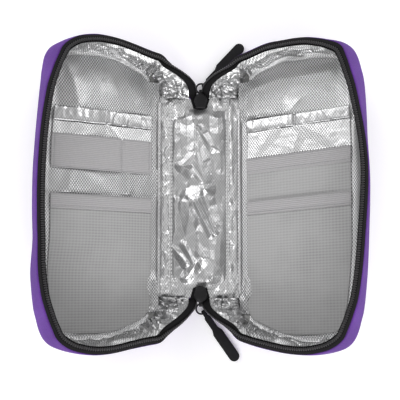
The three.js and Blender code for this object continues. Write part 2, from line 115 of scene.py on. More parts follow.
class CaseSizes(bpy.types.PropertyGroup):
    """Sizes of the case that the fabric pieces follow"""

    spine_half_width: length("Spine half width", "Middle of the spine to a hinge line", 0.028)
    open_tilt: FloatProperty(
        name="Open tilt", description="How far each half stands up from flat",
        default=math.radians(24), subtype="ANGLE")
    base_reach: length("Panel reach", "Hinge line to the far edge of a back panel", 0.0889)
    rim_reach: length("Rim reach", "Hinge line to the far edge of a rim", 0.0894)
    base_half_length: length("Panel half length", "Half the length of a back panel", 0.1038)
    rim_half_length: length("Rim half length", "Half the length of a rim", 0.1015)
    tooth_pitch: length("Tooth pitch", "From one tooth of the zip to the next", 0.00144)
    foil_crease: length("Foil crease", "How far the creases of the foil stand out", 0.0011)
    stitch_pitch: length("Stitch pitch", "From one stitch to the next", 0.0026)
    outline_columns: IntProperty(
        name="Outline columns", description="Columns of a fabric sheet along the outline",
        default=260, min=40)


class CaseFinishes(bpy.types.PropertyGroup):
    """Colours of the case"""

    purple: tint("Cover", "Fabric of the outside", (0.178, 0.0595, 0.416))
    foil: tint("Foil", "Foil of the lining", (0.53, 0.53, 0.535))
    tape: tint("Zip tape", "Woven tape of the zip", (0.0065, 0.006, 0.0068))
    elastic: tint("Elastic", "Bands and hems", (0.442, 0.432, 0.442))
    mesh: tint("Mesh", "Mesh pockets", (0.392, 0.39, 0.392))
    foam: tint("Foam", "Cold-keeping foam between cover and lining", (0.5, 0.5, 0.49))
    thread: tint("Thread", "Stitches of the halves", (0.42, 0.42, 0.43))
    pale_thread: tint("Pale thread", "Stitches of the spine", (0.85, 0.85, 0.86))
    rubber: tint("Rubber", "Pulls", (0.007, 0.007, 0.0075))
    metal: tint("Metal", "Sliders and rings", (0.022, 0.0215, 0.023))


def sizes():
    return bpy.context.scene.case_sizes


def finishes():
    return bpy.context.scene.case_finishes


# Outline and folding

def smooth(x):
    x = np.clip(x, 0, 1)
    return x * x * (3 - 2 * x)


def hump(x, middle, width):
    """A bell, 1 at its middle"""
    return np.exp(-((x - middle) / width) ** 2)


def half_outline(shares, reach, half_length):
    turn = [(-SHELL, CORNER_START)]
    turn += [(u * sizes().rim_reach, v * sizes().rim_half_length) for u, v in CORNER_SHARES]
    turn += [(u * reach, v * half_length) for u, v in shares]
    return np.array(turn + [(u, -v) for u, v in reversed(turn[:-1])])


def along_spline(points, share):
    """Points of the spline through these points, at shares from 0 to 1"""
    place = np.clip(share, 0, 1) * (len(points) - 1)
    first = np.minimum(place.astype(int), len(points) - 2)
    t = (place - first)[..., None]
    p0, p1 = points[np.maximum(first - 1, 0)], points[first]
    p2, p3 = points[first + 1], points[np.minimum(first + 2, len(points) - 1)]
    v0, v1 = (p2 - p0) / 2, (p3 - p1) / 2
    return (2 * p1 - 2 * p2 + v0 + v1) * t ** 3 + (3 * p2 - 3 * p1 - 2 * v0 - v1) * t * t + v0 * t + p1


def outline_at(share, height):
    base = half_outline(BASE_SHARES, sizes().base_reach, sizes().base_half_length)
    rim = half_outline(RIM_SHARES, sizes().rim_reach, sizes().rim_half_length)
    lift = np.clip(height / COVER_TOP, 0, 1)[..., None]
    return along_spline(base, share) * (1 - lift) + along_spline(rim, share) * lift


def inward_at(share, height):
    """Direction to the inside of the case, square to the outline"""
    along = outline_at(share + 0.003, height) - outline_at(share - 0.003, height)
    along /= np.linalg.norm(along, axis=-1, keepdims=True)
    return np.stack([along[..., 1], -along[..., 0]], -1)


def inset_at(share, height, inset):
    return outline_at(share, height) + inward_at(share, height) * np.asarray(inset)[..., None]


def lean_at(along):
    """From 1 at the slider, where the zip lies in the wall's plane, to 0 on the stiff rim, where it lies
    over the wall"""
    return 1 - smooth((np.abs(along) - LEAN_START) / LEAN_RUN)


def tape_lean(share, along):
    near = (share < 0.25) | (share > 0.75)
    return np.where(near, lean_at(along), 0.0)


def wall_at(share, height, inset):
    """A point of a sheet in the wall, which thins to the zip at its rim near the slider"""
    outline = outline_at(share, height)
    pull = 0.85 * tape_lean(share, outline[..., 1]) * smooth((height - 0.015) / 0.007)
    inset = np.asarray(inset) + (0.0047 - np.asarray(inset)) * pull
    return outline + inward_at(share, height) * inset[..., None]


def share_at(along, height):
    """Share of the outline at which its upper quarter reaches a place along the spine"""
    low, high = np.zeros_like(height), np.full_like(height, 0.25)
    for _ in range(30):
        middle = (low + high) / 2
        short = outline_at(middle, height)[..., 1] < along
        low, high = np.where(short, middle, low), np.where(short, high, middle)
    return (low + high) / 2


def fold_angle(along):
    """Angle of a half's material at a place along the spine: shut at the spine's ends, open at the walls"""
    share = smooth((np.abs(along) - CORNER_START) / (CORNER_END - CORNER_START))
    return math.pi / 2 - (math.pi / 2 - sizes().open_tilt) * share


def settled(side, u, v, h):
    """Where the soft walls lie out of true, as they do in use: the left half is drawn in along its far
    side, the right rim leans out, and both rims sag out at the lower end"""
    lift = np.clip(h / COVER_TOP, 0, 1.1)
    near_end, seam = smooth((np.abs(v) - 0.05) / 0.03), smooth((np.abs(v) - 0.0705) / 0.006)
    if side < 0:
        inward = smooth((v + 0.055) / 0.03)
        panel = 0.0005 - 0.0026 * inward + 0.0018 * smooth((v - 0.07) / 0.02)
        rim = 0.0004 - 0.0014 * inward
        sag = 0.0046
        rim_up = 0.0018 * hump(u, 0.068, 0.02) + 0.0024 * seam * hump(u, 0.001, 0.013)
        panel_up = np.where(v > 0, 0.0022 * hump(u, 0.086, 0.012), 0.0014)
    else:
        panel = 0.0028 * smooth((v - 0.02) / 0.07)
        rim = 0.0015 + 0.0021 * hump(v, 0.018, 0.032) + 0.0012 * smooth((v - 0.07) / 0.02)
        sag = 0.0024
        low = smooth((u - 0.026) / 0.014) * (1 - smooth((u - 0.064) / 0.012))
        rim_up = 0.0020 * hump(u, 0.082, 0.012) - 0.0014 * low
        rim_up = rim_up + 0.0014 * seam * hump(u, -0.001, 0.010)
        panel_up = -0.0021 * low * (v > 0)
    out = (panel + (rim - panel) * lift) * smooth(u / 0.06)
    down = sag * hump(u, 0.005 + 0.003 * side, 0.0165) * smooth((-v - 0.074) / 0.012) * lift
    up = near_end * (rim_up * lift * (v > 0) + panel_up * (1 - lift))
    return u + out, v - down + up


def placed(side, u, v, h, angle):
    """A point of a half: u away from the hinge line, v along the spine, h up from the panel"""
    u, v, h, angle = np.broadcast_arrays(u, v, h, angle)
    u, v = settled(side, u, v, h)
    return np.stack([
        side * (sizes().spine_half_width + u * np.cos(angle) - h * np.sin(angle)),
        v,
        SHELL + u * np.sin(angle) + h * np.cos(angle),
    ], -1)


def on_half(side, u, v, h, along=None):
    """A point of a stiff half, which stands at one angle all along the spine"""
    return placed(side, u, v, h, sizes().open_tilt)


def on_corner(side, u, v, h, along):
    """A point of a soft corner. Its foot folds as its own place along the spine does, and its rim as
    the place along does, where its line square to the outline meets the outline."""
    place = np.maximum(np.abs(v), CORNER_START)
    return placed(side, u, np.sign(v) * place, h, fold_angle(place + (along - place) * smooth(h / 0.020)))


# Creases

def chance(i, j, key):
    return np.modf(np.abs(np.sin(i * 127.1 + j * 311.7 + key * 74.7) * 43758.5453))[0]


def highest_plane(place, key):
    cell = np.floor(place)
    best = np.full(place.shape[:-1], -9.0)
    for step_i in (-1, 0, 1):
        for step_j in (-1, 0, 1):
            i, j = cell[..., 0] + step_i, cell[..., 1] + step_j
            away_i = place[..., 0] - i - chance(i, j, key)
            away_j = place[..., 1] - j - chance(i, j, key + 1)
            lean = (chance(i, j, key + 2) - 0.5) * away_i + (chance(i, j, key + 3) - 0.5) * away_j
            best = np.maximum(best, lean - away_i ** 2 - away_j ** 2)
    return best


def creased(flat, cell, key, stretch=(1, 1)):
    """Flat facets between sharp folds, about from -1 to 1, over flat coordinates in metres"""
    place = flat / (cell * np.array(stretch))
    bend = np.stack([np.sin(place[..., 1] * 1.3 + key), np.sin(place[..., 0] * 1.1 + 2 * key)], -1)
    place = place + 0.22 * bend
    return 1.6 * (highest_plane(place, key) - highest_plane(place, key + 17))


def foil_creases(flat, key, stretch=(1, 1)):
    return (
        0.75 * creased(flat, 0.011, key, stretch)
        + 0.42 * creased(flat, 0.0052, key + 5, stretch)
        + 0.16 * creased(flat, 0.0026, key + 9)
    )


def from_line(flat, line):
    """Distance to a line of points, and how far along it the nearest place is, from 0 to 1"""
    line = np.array(line, float)
    best, where = np.full(len(flat), 9.0), np.zeros(len(flat))
    for step, (a, b) in enumerate(zip(line, line[1:])):
        run = b - a
        t = np.clip(((flat - a) @ run) / (run @ run), 0, 1)
        away = np.linalg.norm(flat - a - t[:, None] * run, axis=1)
        near = away < best
        best, where = np.where(near, away, best), np.where(near, (step + t) / (len(line) - 1), where)
    return best, where


def tents(flat, folds):
    """Height of cloth that stands up in straight-sided folds. Each fold has its line, in mm, its
    height at the line's two ends, in mm, and the slope of its sides."""
    height = np.zeros(len(flat))
    for line, (first, last), slope in folds:
        away, where = from_line(flat, np.array(line) * 0.001)
        crest = (first + (last - first) * where) * 0.001
        height = np.maximum(height, crest - slope * away)
    return height


SLIT_ENDS = {-1: 0.17, 1: 0.25}  # share of the outline up to which the slit under the zip is open


def wall_creases(side, share, end, height):
    """How far the foil of a wall stands into the case: crumpled at the soft corners, in long wrinkles
    at the ends, in soft facets on the far wall, with an open slit under the zip"""
    near_share = np.minimum(share, 1 - share)
    key = 7 + 2 * side + end
    corner = 1 - smooth((near_share - 0.11) / 0.05)
    far = smooth((near_share - 0.31) / 0.05)
    flat = np.stack([share * OUTLINE_LENGTH, height], -1)
    at_corner = np.stack([near_share * OUTLINE_LENGTH, height], -1)
    crumple = creased(at_corner, 0.0078, key, (0.9, 1.3)) + 0.4 * creased(at_corner, 0.0036, key + 3)
    wrinkles = creased(flat, 0.0056, 11 + side, (3.2, 1.1)) + 0.5 * creased(flat, 0.0034, 15 + side, (1.8, 1))
    facets = creased(flat, 0.009, 19 + side, (0.8, 2.2))
    amount = corner * (1.7 + 2.1 * crumple)
    amount = amount + (1 - corner) * ((1 - far) * (1.4 + 1.9 * wrinkles) + far * (0.35 + 0.35 * facets))
    ease = smooth(height / 0.004) * (1 - smooth((height - 0.0185) / 0.0045))
    slit = height - 0.0118 - 0.0062 * np.clip(near_share / 0.09, 0, 1)
    opened = 1 - smooth((near_share - SLIT_ENDS[side]) / 0.04)
    flap = 0.0012 * smooth(slit / 0.0005) * (1 - smooth((slit - 0.002) / 0.003))
    groove = 0.0019 * hump(slit, 0, 0.0006)
    return sizes().foil_crease * ease * amount + opened * (flap - groove)


# Meshes

def new_object(name, bm, material, smooth_shading=True):
    mesh = bpy.data.meshes.new(name)
    bm.to_mesh(mesh)
    bm.free()
    for polygon in mesh.polygons:
        polygon.use_smooth = smooth_shading
    mesh.materials.append(material)
    piece = bpy.data.objects.new(name, mesh)
    bpy.context.scene.collection.objects.link(piece)
    return piece


def laid_grid(columns, rows, place, facing, unfolded=None):
    """A grid of faces whose points are laid by place(s, t), both from 0 to 1. facing is a direction
    that its faces look to, or a point in the cavity that they look away from. unfolded gives the flat
    pattern of the cloth, in metres, as its UV map."""
    bm = bmesh.new()
    uv = bm.loops.layers.uv.new("UVMap")
    bmesh.ops.create_grid(bm, x_segments=columns, y_segments=rows, size=0.5)
    shares = np.array([vert.co[:2] for vert in bm.verts]) + 0.5
    points = place(shares[:, 0], shares[:, 1])
    for vert, point in zip(bm.verts, points):
        vert.co = point
    bm.normal_update()
    if isinstance(facing, tuple):
        looks = [face.calc_center_median() - Vector(facing) for face in bm.faces]
    else:
        looks = [facing] * len(bm.faces)
    if sum(look.dot(face.normal) * face.calc_area() for look, face in zip(looks, bm.faces)) < 0:
        bmesh.ops.reverse_faces(bm, faces=bm.faces)
    flat = points[:, :2] if unfolded is None else unfolded(shares[:, 0], shares[:, 1])
    bm.verts.index_update()
    for face in bm.faces:
        for loop in face.loops:
            loop[uv].uv = flat[loop.vert.index]
    return bm


def thicken(piece, thickness, offset=-1.0):
    solid = piece.modifiers.new("Thickness", "SOLIDIFY")
    solid.thickness = thickness
    solid.offset = offset
    return piece


def dress(piece, body, node_name=None):
    """Hang a piece on the body that carries it, and hide the part that it stands for"""
    if node_name:
        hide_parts(node_name)
    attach(piece, body)
    return piece


def cloth(piece):
    """Read a sheet's flat pattern, in metres, from its UV map; nothing is kept of it"""
    pattern = np.empty(len(piece.data.loops) * 2)
    piece.data.uv_layers["UVMap"].data.foreach_get("uv", pattern)
    return piece


def repeated(name, unit, matrices, material):
    """Copies of a small mesh, one at each matrix, as one piece"""
    bm = bmesh.new()
    for _ in matrices:
        bm.from_mesh(unit)
    bm.verts.ensure_lookup_table()
    for number, vert in enumerate(bm.verts):
        vert.co = matrices[number // len(unit.vertices)] @ vert.co
    return new_object(name, bm, material)


def frame_along(point, along, up):
    """A matrix whose X runs along and whose Z is near up"""
    x = Vector(along).normalized()
    y = Vector(up).cross(x).normalized()
    z = x.cross(y)
    matrix = Matrix((x, y, z)).transposed().to_4x4()
    matrix.translation = Vector(point)
    return matrix


def round_edges(bm, edges, offset, segments=1):
    bmesh.ops.bevel(
        bm, geom=edges, offset=offset, segments=segments, affect="EDGES", profile=0.5, material=-1)


def small_mesh(name, bm, bevel):
    round_edges(bm, bm.edges, bevel)
    mesh = bpy.data.meshes.new(name)
    bm.to_mesh(mesh)
    bm.free()
    return mesh


def thread_mesh(run, width, height):
    """One stitch, a short raised bar of thread"""
    bm = bmesh.new()
    bmesh.ops.create_cube(bm, size=1)
    bmesh.ops.scale(bm, verts=bm.verts, vec=(run, width, height))
    return small_mesh("stitch", bm, width * 0.32)


def lengths_along(points):
    """Length of a line of points from its start to each point"""
    return np.concatenate([[0], np.cumsum(np.linalg.norm(np.diff(points, axis=0), axis=1))])


def point_along(points, lengths, place):
    return np.array([np.interp(place, lengths, np.asarray(points)[:, axis]) for axis in range(3)])


def stitch_row(name, points, ups, material, body, pitch=None, width=0.0005, cover=0.72):
    """Stitches along a line of points, each lying on the surface below its up direction"""
    pitch = pitch or sizes().stitch_pitch
    lengths = lengths_along(points)
    count = max(1, int(lengths[-1] / pitch))
    matrices = []
    for step in range(count):
        ends = [(step + 0.5 + shift) * lengths[-1] / count for shift in (-0.3, 0.3)]
        near, far = (point_along(points, lengths, end) for end in ends)
        matrices.append(frame_along((near + far) / 2, far - near, point_along(ups, lengths, ends[0])))
    unit = thread_mesh(pitch * cover, width, width * 0.8)
    return dress(repeated(name, unit, matrices, material), body)


# Materials

def material_of(name):
    """A material with an unset shader, and its node tree"""
    material = bpy.data.materials.get(name) or bpy.data.materials.new(name)
    material.use_nodes = True
    tree = material.node_tree
    tree.nodes.clear()
    shader = tree.nodes.new("ShaderNodeBsdfPrincipled")
    shader.name = "shader"
    out = tree.nodes.new("ShaderNodeOutputMaterial")
    tree.links.new(shader.outputs[0], out.inputs[0])
    return material, tree


def feed(tree, socket, value):
    """Link a socket, or set it"""
    if isinstance(value, bpy.types.NodeSocket):
        tree.links.new(value, socket)
    else:
        socket.default_value = value


def node(tree, kind, settings=None, **values):
    """A node with its settings. Its inputs are fed by name, or by number as i0, i1 and so on."""
    made = tree.nodes.new("ShaderNode" + kind)
    for key, value in (settings or {}).items():
        setattr(made, key, value)
    for key, value in values.items():
        feed(tree, made.inputs[int(key[1:]) if key[1:].isdigit() else key.replace("_", " ")], value)
    return made


def maths(tree, operation, a, b=0.0):
    return node(tree, "Math", {"operation": operation}, i0=a, i1=b).outputs[0]


def mixed(tree, factor, a, b):
    values = [value if isinstance(value, bpy.types.NodeSocket) else (*value[:3], 1) for value in (a, b)]
    return node(tree, "Mix", {"data_type": "RGBA"}, i0=factor, i6=values[0], i7=values[1]).outputs[2]


def ramp(tree, value, low, high, from_min=0.0, from_max=1.0):
    made = node(tree, "MapRange", {"clamp": True}, i0=value, i1=from_min, i2=from_max, i3=low, i4=high)
    return made.outputs[0]


def flat_pattern(tree):
    """The piece's flat pattern in metres: its two coordinates"""
    split = node(tree, "SeparateXYZ", i0=node(tree, "UVMap", {"uv_map": "UVMap"}).outputs[0])
    return split.outputs[0], split.outputs[1]


def on_piece(tree):
    return node(tree, "TexCoord").outputs["Object"]


def waves(tree, value, pitch, phase=0.0):
    """From -1 to 1 along a coordinate in metres"""
    turned = maths(tree, "ADD", maths(tree, "MULTIPLY", value, 2 * math.pi / pitch), phase)
    return maths(tree, "SINE", turned)


def noise(tree, scale, detail, rough):
    made = node(tree, "TexNoise", Vector=on_piece(tree), Scale=scale, Detail=detail, Roughness=rough)
    return made.outputs[0]


def shade(colour, factor):
    return tuple(min(1.0, c * factor) for c in colour)


def scaled(tree, vector, factor):
    return node(tree, "VectorMath", {"operation": "SCALE"}, i0=vector, Scale=factor).outputs[0]


def finished(material, tone, roughness, bumps=(), **values):
    """Feed the shader its colour, roughness and other sockets by name, and its bumps, each a height and
    a distance in metres"""
    tree = material.node_tree
    normal = {}
    for height, distance in bumps:
        made = node(tree, "Bump", Strength=1.0, Distance=distance, Height=height, **normal)
        normal = {"Normal": made.outputs[0]}
    for key, value in {"Base Color": tone, "Roughness": roughness, **values, **normal}.items():
        feed(tree, tree.nodes["shader"].inputs[key.replace("_", " ")], value)
    return material


def cover_fabric():
    """Purple woven cover: plain weave of round yarns, faint slubs and a soft sheen"""
    material, tree = material_of("purple_cover_fabric")
    across, along = (waves(tree, place, 0.00105) for place in flat_pattern(tree))
    half = maths(tree, "MULTIPLY", across, along)
    yarn = maths(tree, "ADD", maths(tree, "ABSOLUTE", across), maths(tree, "ABSOLUTE", along))
    cloud = noise(tree, 38.0, 4.0, 0.6)
    slub = noise(tree, 900.0, 2.0, 0.7)
    colour = finishes().purple
    tone = mixed(tree, ramp(tree, cloud, 0.0, 1.0, 0.35, 0.65), shade(colour, 0.86), shade(colour, 1.1))
    tone = mixed(tree, ramp(tree, half, 0.0, 0.35, -0.6, 1.0), tone, shade(colour, 1.35))
    tone = mixed(tree, ramp(tree, slub, 0.35, 0.0, 0.3, 0.6), tone, shade(colour, 0.55))
    return finished(
        material, tone, ramp(tree, slub, 0.72, 0.95), [(half, 0.00016), (yarn, 0.00008), (slub, 0.00012)],
        Specular_IOR_Level=0.2, Sheen_Weight=0.05, Sheen_Roughness=0.5)


def foil_finish(name="foil", emboss=1.0, rough=0.36, crinkle=0.15, tone=1.0):
    """Aluminium foil: an embossed diamond lattice, worn flat in places, and fine crinkles. Painted shade
    darkens the lattice's dips and painted highlights lighten its raised dots, as strongly as emboss sets its
    bump.
    """
    material, tree = material_of(name)
    u, v = flat_pattern(tree)
    across, along = maths(tree, "MULTIPLY", u, 1 / 0.0018), maths(tree, "MULTIPLY", v, 1 / 0.0025)
    diagonals = [waves(tree, maths(tree, kind, across, along), 1.0) for kind in ("ADD", "SUBTRACT")]
    lattice = maths(tree, "MULTIPLY", maths(tree, "ADD", *diagonals), 0.5)
    wear = noise(tree, 45.0, 3.0, 0.6)
    lattice = maths(tree, "MULTIPLY", lattice, ramp(tree, wear, 0.35, 1.0, 0.38, 0.56))
    place = on_piece(tree)
    shift = node(tree, "TexNoise", Vector=place, Scale=140.0, Detail=2.0).outputs[1]
    warp = node(tree, "VectorMath", {"operation": "ADD"}, i0=place, i1=scaled(tree, shift, 0.005)).outputs[0]
    cracks = node(tree, "TexVoronoi", {"feature": "DISTANCE_TO_EDGE"}, Vector=warp, Scale=300.0)
    cracks = ramp(tree, cracks.outputs[0], 0.0, 1.0, 0.0, 0.14)
    colour = shade(finishes().foil, tone)
    foil_tone_with_painted_emboss_light = mixed(tree, ramp(tree, wear, 0.0, 1.0, 0.35, 0.65), shade(colour, 0.9), shade(colour, 1.08))
    # Painted shade in the lattice's dips, then painted highlights on its raised dots
    foil_tone_with_painted_emboss_light = mixed(tree, ramp(tree, lattice, emboss, 0.0, -0.55, 0.05), foil_tone_with_painted_emboss_light, shade(colour, 0.42))
    foil_tone_with_painted_emboss_light = mixed(tree, ramp(tree, lattice, 0.0, emboss, -0.05, 0.55), foil_tone_with_painted_emboss_light, shade(colour, 1.5))
    return finished(
        material, foil_tone_with_painted_emboss_light, ramp(tree, wear, rough - 0.03, rough + 0.08, 0.3, 0.7),
        [(lattice, 0.00012 * emboss), (cracks, 0.0001 * crinkle)], Metallic=0.93)


def tape_finish():
    """Black woven zip tape with a fine herringbone"""
    material, tree = material_of("black_zip_tape")
    u, v = flat_pattern(tree)
    zigzag = maths(tree, "ADD", maths(tree, "MULTIPLY", waves(tree, v, 0.0024), 0.0004), u)
    rib = waves(tree, zigzag, 0.0007)
    grain = noise(tree, 1200.0, 2.0, 0.6)
    colour = finishes().tape
    tone = mixed(tree, ramp(tree, rib, 0.0, 1.0, -0.4, 1.0), shade(colour, 0.8), shade(colour, 1.8))
    tone = mixed(tree, ramp(tree, grain, 0.0, 0.4, 0.45, 0.75), tone, shade(colour, 2.4))
    inner = ramp(tree, v, 0.0, 1.0, TAPE_RUN * 0.26, TAPE_RUN * 0.32)
    tone = mixed(tree, inner, scaled(tree, tone, 1.8), tone)
    under = maths(tree, "ABSOLUTE", maths(tree, "SUBTRACT", v, TAPE_RUN * 0.5))
    shadow = ramp(tree, under, 1.0, 0.0, TAPE_RUN * 0.16, TAPE_RUN * 0.22)
    tone = mixed(tree, shadow, tone, shade(colour, 0.3))
    return finished(material, tone, 0.8, [(rib, 0.0001), (grain, 0.00008)], Specular_IOR_Level=0.18)


def tooth_finish():
    """Black nylon of the zip's coil, coloured as the tape's black made 2.5 to 5.5 times as light: painted
    highlight on the tooth tops, mottled at random
    """
    material, tree = material_of("black_zip_coil")
    grain = noise(tree, 1500.0, 2.0, 0.5)
    colour = finishes().tape
    tone = mixed(tree, grain, shade(colour, 2.5), shade(colour, 5.5))
    return finished(material, tone, ramp(tree, grain, 0.28, 0.42), [(grain, 0.00003)], Specular_IOR_Level=0.5)


def thread_finish(name, colour):
    """Twisted sewing thread"""
    material, tree = material_of(name)
    place = node(tree, "SeparateXYZ", i0=on_piece(tree))
    twist = waves(tree, maths(tree, "ADD", place.outputs[0], place.outputs[1]), 0.0005)
    tone = mixed(tree, ramp(tree, twist, 0.0, 1.0, -1.0, 1.0), shade(colour, 0.75), shade(colour, 1.2))
    return finished(material, tone, 0.7, [(twist, 0.00005)])


def elastic_finish():
    """Grey ribbed elastic: narrow ribs along the band, with the weave's small steps across them"""
    material, tree = material_of("grey_elastic")
    u, v = flat_pattern(tree)
    both = maths(tree, "ADD", waves(tree, v, 0.00125), maths(tree, "MULTIPLY", waves(tree, u, 0.0009), 0.3))
    grain = noise(tree, 650.0, 3.0, 0.6)
    colour = finishes().elastic
    tone = mixed(tree, ramp(tree, both, 0.0, 1.0, -1.0, 0.6), shade(colour, 0.82), shade(colour, 1.06))
    tone = mixed(tree, ramp(tree, grain, 0.3, 0.0, 0.35, 0.6), tone, shade(colour, 0.8))
    return finished(material, tone, 0.86, [(both, 0.00007), (grain, 0.00005)])


def mesh_finish():
    """Grey pocket mesh: a grid of small soft openings, over fine rows of yarn, with lighter patches of painted
    sheen
    """
    material, tree = material_of("grey_mesh")
    u, v = flat_pattern(tree)
    rows, columns = waves(tree, v, 0.00188), waves(tree, u, 0.0022)
    holes = maths(tree, "ADD", maths(tree, "MULTIPLY", rows, 0.6), maths(tree, "MULTIPLY", columns, 0.4))
    yarn = waves(tree, v, 0.00055)
    cloud = noise(tree, 30.0, 3.0, 0.5)
    colour = finishes().mesh
    tone = mixed(tree, ramp(tree, holes, 0.0, 1.0, -0.7, 0.5), shade(colour, 0.82), shade(colour, 1.1))
    # Lighter cloudy patches: painted sheen
    tone = mixed(tree, ramp(tree, cloud, 0.0, 0.4, 0.42, 0.62), tone, shade(colour, 1.25))
    tone = mixed(tree, ramp(tree, yarn, 0.12, 0.0, -1.0, 0.5), tone, shade(colour, 0.7))
    return finished(material, tone, 0.8, [(holes, 0.00006), (yarn, 0.00004)])


def foam_finish():
    """Grey closed-cell foam"""
    material, tree = material_of("pale_foam")
    cells = node(tree, "TexVoronoi", Vector=on_piece(tree), Scale=900.0).outputs[0]
    colour = finishes().foam
    tone = mixed(tree, ramp(tree, cells, 0.0, 1.0, 0.0, 0.8), colour, shade(colour, 0.7))
    return finished(material, tone, 0.95, [(cells, 0.0002)])


def rubber_finish():
    """Black soft rubber of the pulls, faintly pebbled and dusty"""
    material, tree = material_of("black_pull_rubber")
    pebbles = noise(tree, 1400.0, 2.0, 0.5)
    dust = noise(tree, 120.0, 4.0, 0.7)
    colour = finishes().rubber
    tone = mixed(tree, ramp(tree, dust, 0.0, 0.5, 0.5, 0.8), colour, shade(colour, 3.2))
    return finished(material, tone, ramp(tree, dust, 0.5, 0.68), [(pebbles, 0.00006)], Specular_IOR_Level=0.2)


def metal_finish():
    """Dark plated metal with light rubbed places"""
    material, tree = material_of("dark_slider_metal")
    rub = noise(tree, 260.0, 4.0, 0.65)
    scratch = noise(tree, 1600.0, 2.0, 0.7)
    colour = finishes().metal
    tone = mixed(tree, ramp(tree, rub, 0.0, 0.55, 0.52, 0.74), colour, shade(colour, 3.2))
    return finished(material, tone, ramp(tree, rub, 0.32, 0.5), [(scratch, 0.00002)], Metallic=0.75)


def floor_finish():
    """Plain white floor, faintly uneven"""
    material, tree = material_of("white_floor")
    tone = mixed(tree, noise(tree, 3.0, 2.0, 0.5), (0.93, 0.93, 0.93), (0.95, 0.95, 0.95))
    path = node(tree, "LightPath")
    seen = maths(tree, "MAXIMUM", path.outputs["Is Camera Ray"], path.outputs["Is Glossy Ray"])
    return finished(material, tone, 0.9, Specular_IOR_Level=0.1, Emission_Color=(1, 1, 1, 1),
                    Emission_Strength=maths(tree, "MULTIPLY", seen, 0.2))


# Sheets that follow the walls and panels of a half. A profile is a table of rows from the hinge line
# over the panel and up the wall: share of the floor passed, inset from the outline, height, and length
# of wall passed.

def profile_of(inset, radius, floor, top, floor_rows, round_rows, wall_rows):
    foot = floor + radius
    rows = [(row / floor_rows, inset + radius, floor) for row in range(floor_rows)]
    for row in range(round_rows + 1):
        turn = row / round_rows * math.pi / 2
        rows.append((1.0, inset + radius * (1 - math.sin(turn)), floor + radius * (1 - math.cos(turn))))
    rows += [(1.0, inset, foot + (top - foot) * row / wall_rows) for row in range(1, wall_rows + 1)]
    rows = np.array(rows)
    return np.column_stack([rows, lengths_along(rows[:, 1:])])


def shell_sheet(side, profile, columns, lift=None, swell=0.0):
    """A panel with its three walls in one sheet, and its flat pattern. lift(flat, share, height, plane)
    is added towards the cavity."""
    rows = len(profile) - 1
    _, panel_inset, panel, _ = profile[0]

    def starts(height):
        """Share of the outline where a row starts: at the hinge on the panel, above it at the corner"""
        open_start = share_at(CORNER_END, np.maximum(height, 0.0))
        hinge_start = share_at(HINGE_END, height)
        rise = smooth((height - panel) / (LAYER_GAP + COVER - panel))
        return hinge_start * (1 - rise) + open_start * rise

    def parts(s, t):
        row = np.rint(t * rows).astype(int)
        floor_share, inset, height, passed = profile[row].T
        start = starts(height)
        share = start + (1 - 2 * start) * s
        edge = wall_at(share, height, inset)
        edge[:, 0] = np.where(row > 0, np.maximum(edge[:, 0], HINGE_GAP), edge[:, 0])
        bottom = np.full_like(height, panel)
        foot_start = starts(bottom)
        foot_share = foot_start + (1 - 2 * foot_start) * s
        foot = inset_at(foot_share, bottom, np.full_like(height, panel_inset))
        first = inset_at(foot_start[:1], bottom[:1], np.array([panel_inset]))[0, 1]
        hinge = np.stack([np.full_like(s, HINGE_GAP), first * 0.999 * (1 - 2 * s)], -1)
        on_floor = (floor_share < 1)[:, None]
        plane = np.where(on_floor, hinge + (foot - hinge) * floor_share[:, None], edge)
        flat = np.where(on_floor, plane, foot - inward_at(foot_share, bottom) * passed[:, None])
        return flat, plane, height, share, passed

    def place(s, t):
        flat, plane, height, share, passed = parts(s, t)
        turn_in = np.clip(passed / (EDGE_RADIUS * 1.2), 0, 1)
        amount = lift(flat, share, height, plane) if lift else np.zeros_like(s)
        amount = amount - swell * np.sin(np.pi * np.clip(height / COVER_TOP, 0, 1)) * turn_in
        plane = plane + inward_at(share, height) * (amount * turn_in)[:, None]
        return on_half(side, plane[:, 0], plane[:, 1], height + amount * (1 - turn_in))

    return laid_grid(columns, rows, place, HALF_MIDDLE[side], lambda s, t: parts(s, t)[0] * (side, 1))


def corner_sheet(side, end, inset, low, high, columns, rows, lift=None):
    """A soft corner, from the spine to the stiff wall. high(lean) is its upper edge."""
    def parts(s, t):
        lean = lean_at(CORNER_START + (CORNER_END - CORNER_START) * s)
        height = low + (high(lean) - low) * t
        start, stop = share_at(CORNER_START, height), share_at(CORNER_END, height)
        share = start + (stop - start) * s
        return share, height

    def place(s, t):
        share, height = parts(s, t)
        amount = lift(share, height) if lift else 0.0
        plane = wall_at(share, height, inset + amount)
        return on_corner(side, plane[:, 0], end * plane[:, 1], height, outline_at(share, height)[:, 1])

    def unfolded(s, t):
        height = parts(s, t)[1]
        return np.stack([side * (0.07 + height), end * (0.07 + 0.03 * s)], -1)

    return laid_grid(columns, rows, place, (side * 0.03, end * 0.06, 0.035), unfolded)


def layer_top(inset):
    """Upper edge of a layer of the wall, below the tape that slopes over it"""
    return COVER_TOP + TAPE_RISE * max(inset - TAPE_EDGE, 0) / TAPE_RUN


# Soft boxes of the studio's world: direction, level, and the cosines between which it comes up
SOFT_BOXES = (
    ((-0.72, 0.05, 0.70), 0.45, 0.78, 0.96),
    ((0.85, 0.45, 0.30), 0.55, 0.76, 0.96),
    ((0.05, -0.55, 0.83), 0.45, 0.82, 0.97),
    ((-0.15, 0.60, 0.79), 0.42, 0.82, 0.97),
    ((0.42, -0.05, 0.90), 0.30, 0.90, 0.985),
)

# Lamps: name, place, size and power
LAMPS = (
    ("lamp_left", (-0.85, 0.75, 0.7), 0.9, 6.4),
    ("lamp_right", (0.95, 0.75, 0.6), 0.8, 4.8),
    ("lamp_front", (0.1, -1.05, 0.62), 0.9, 9.1),
)


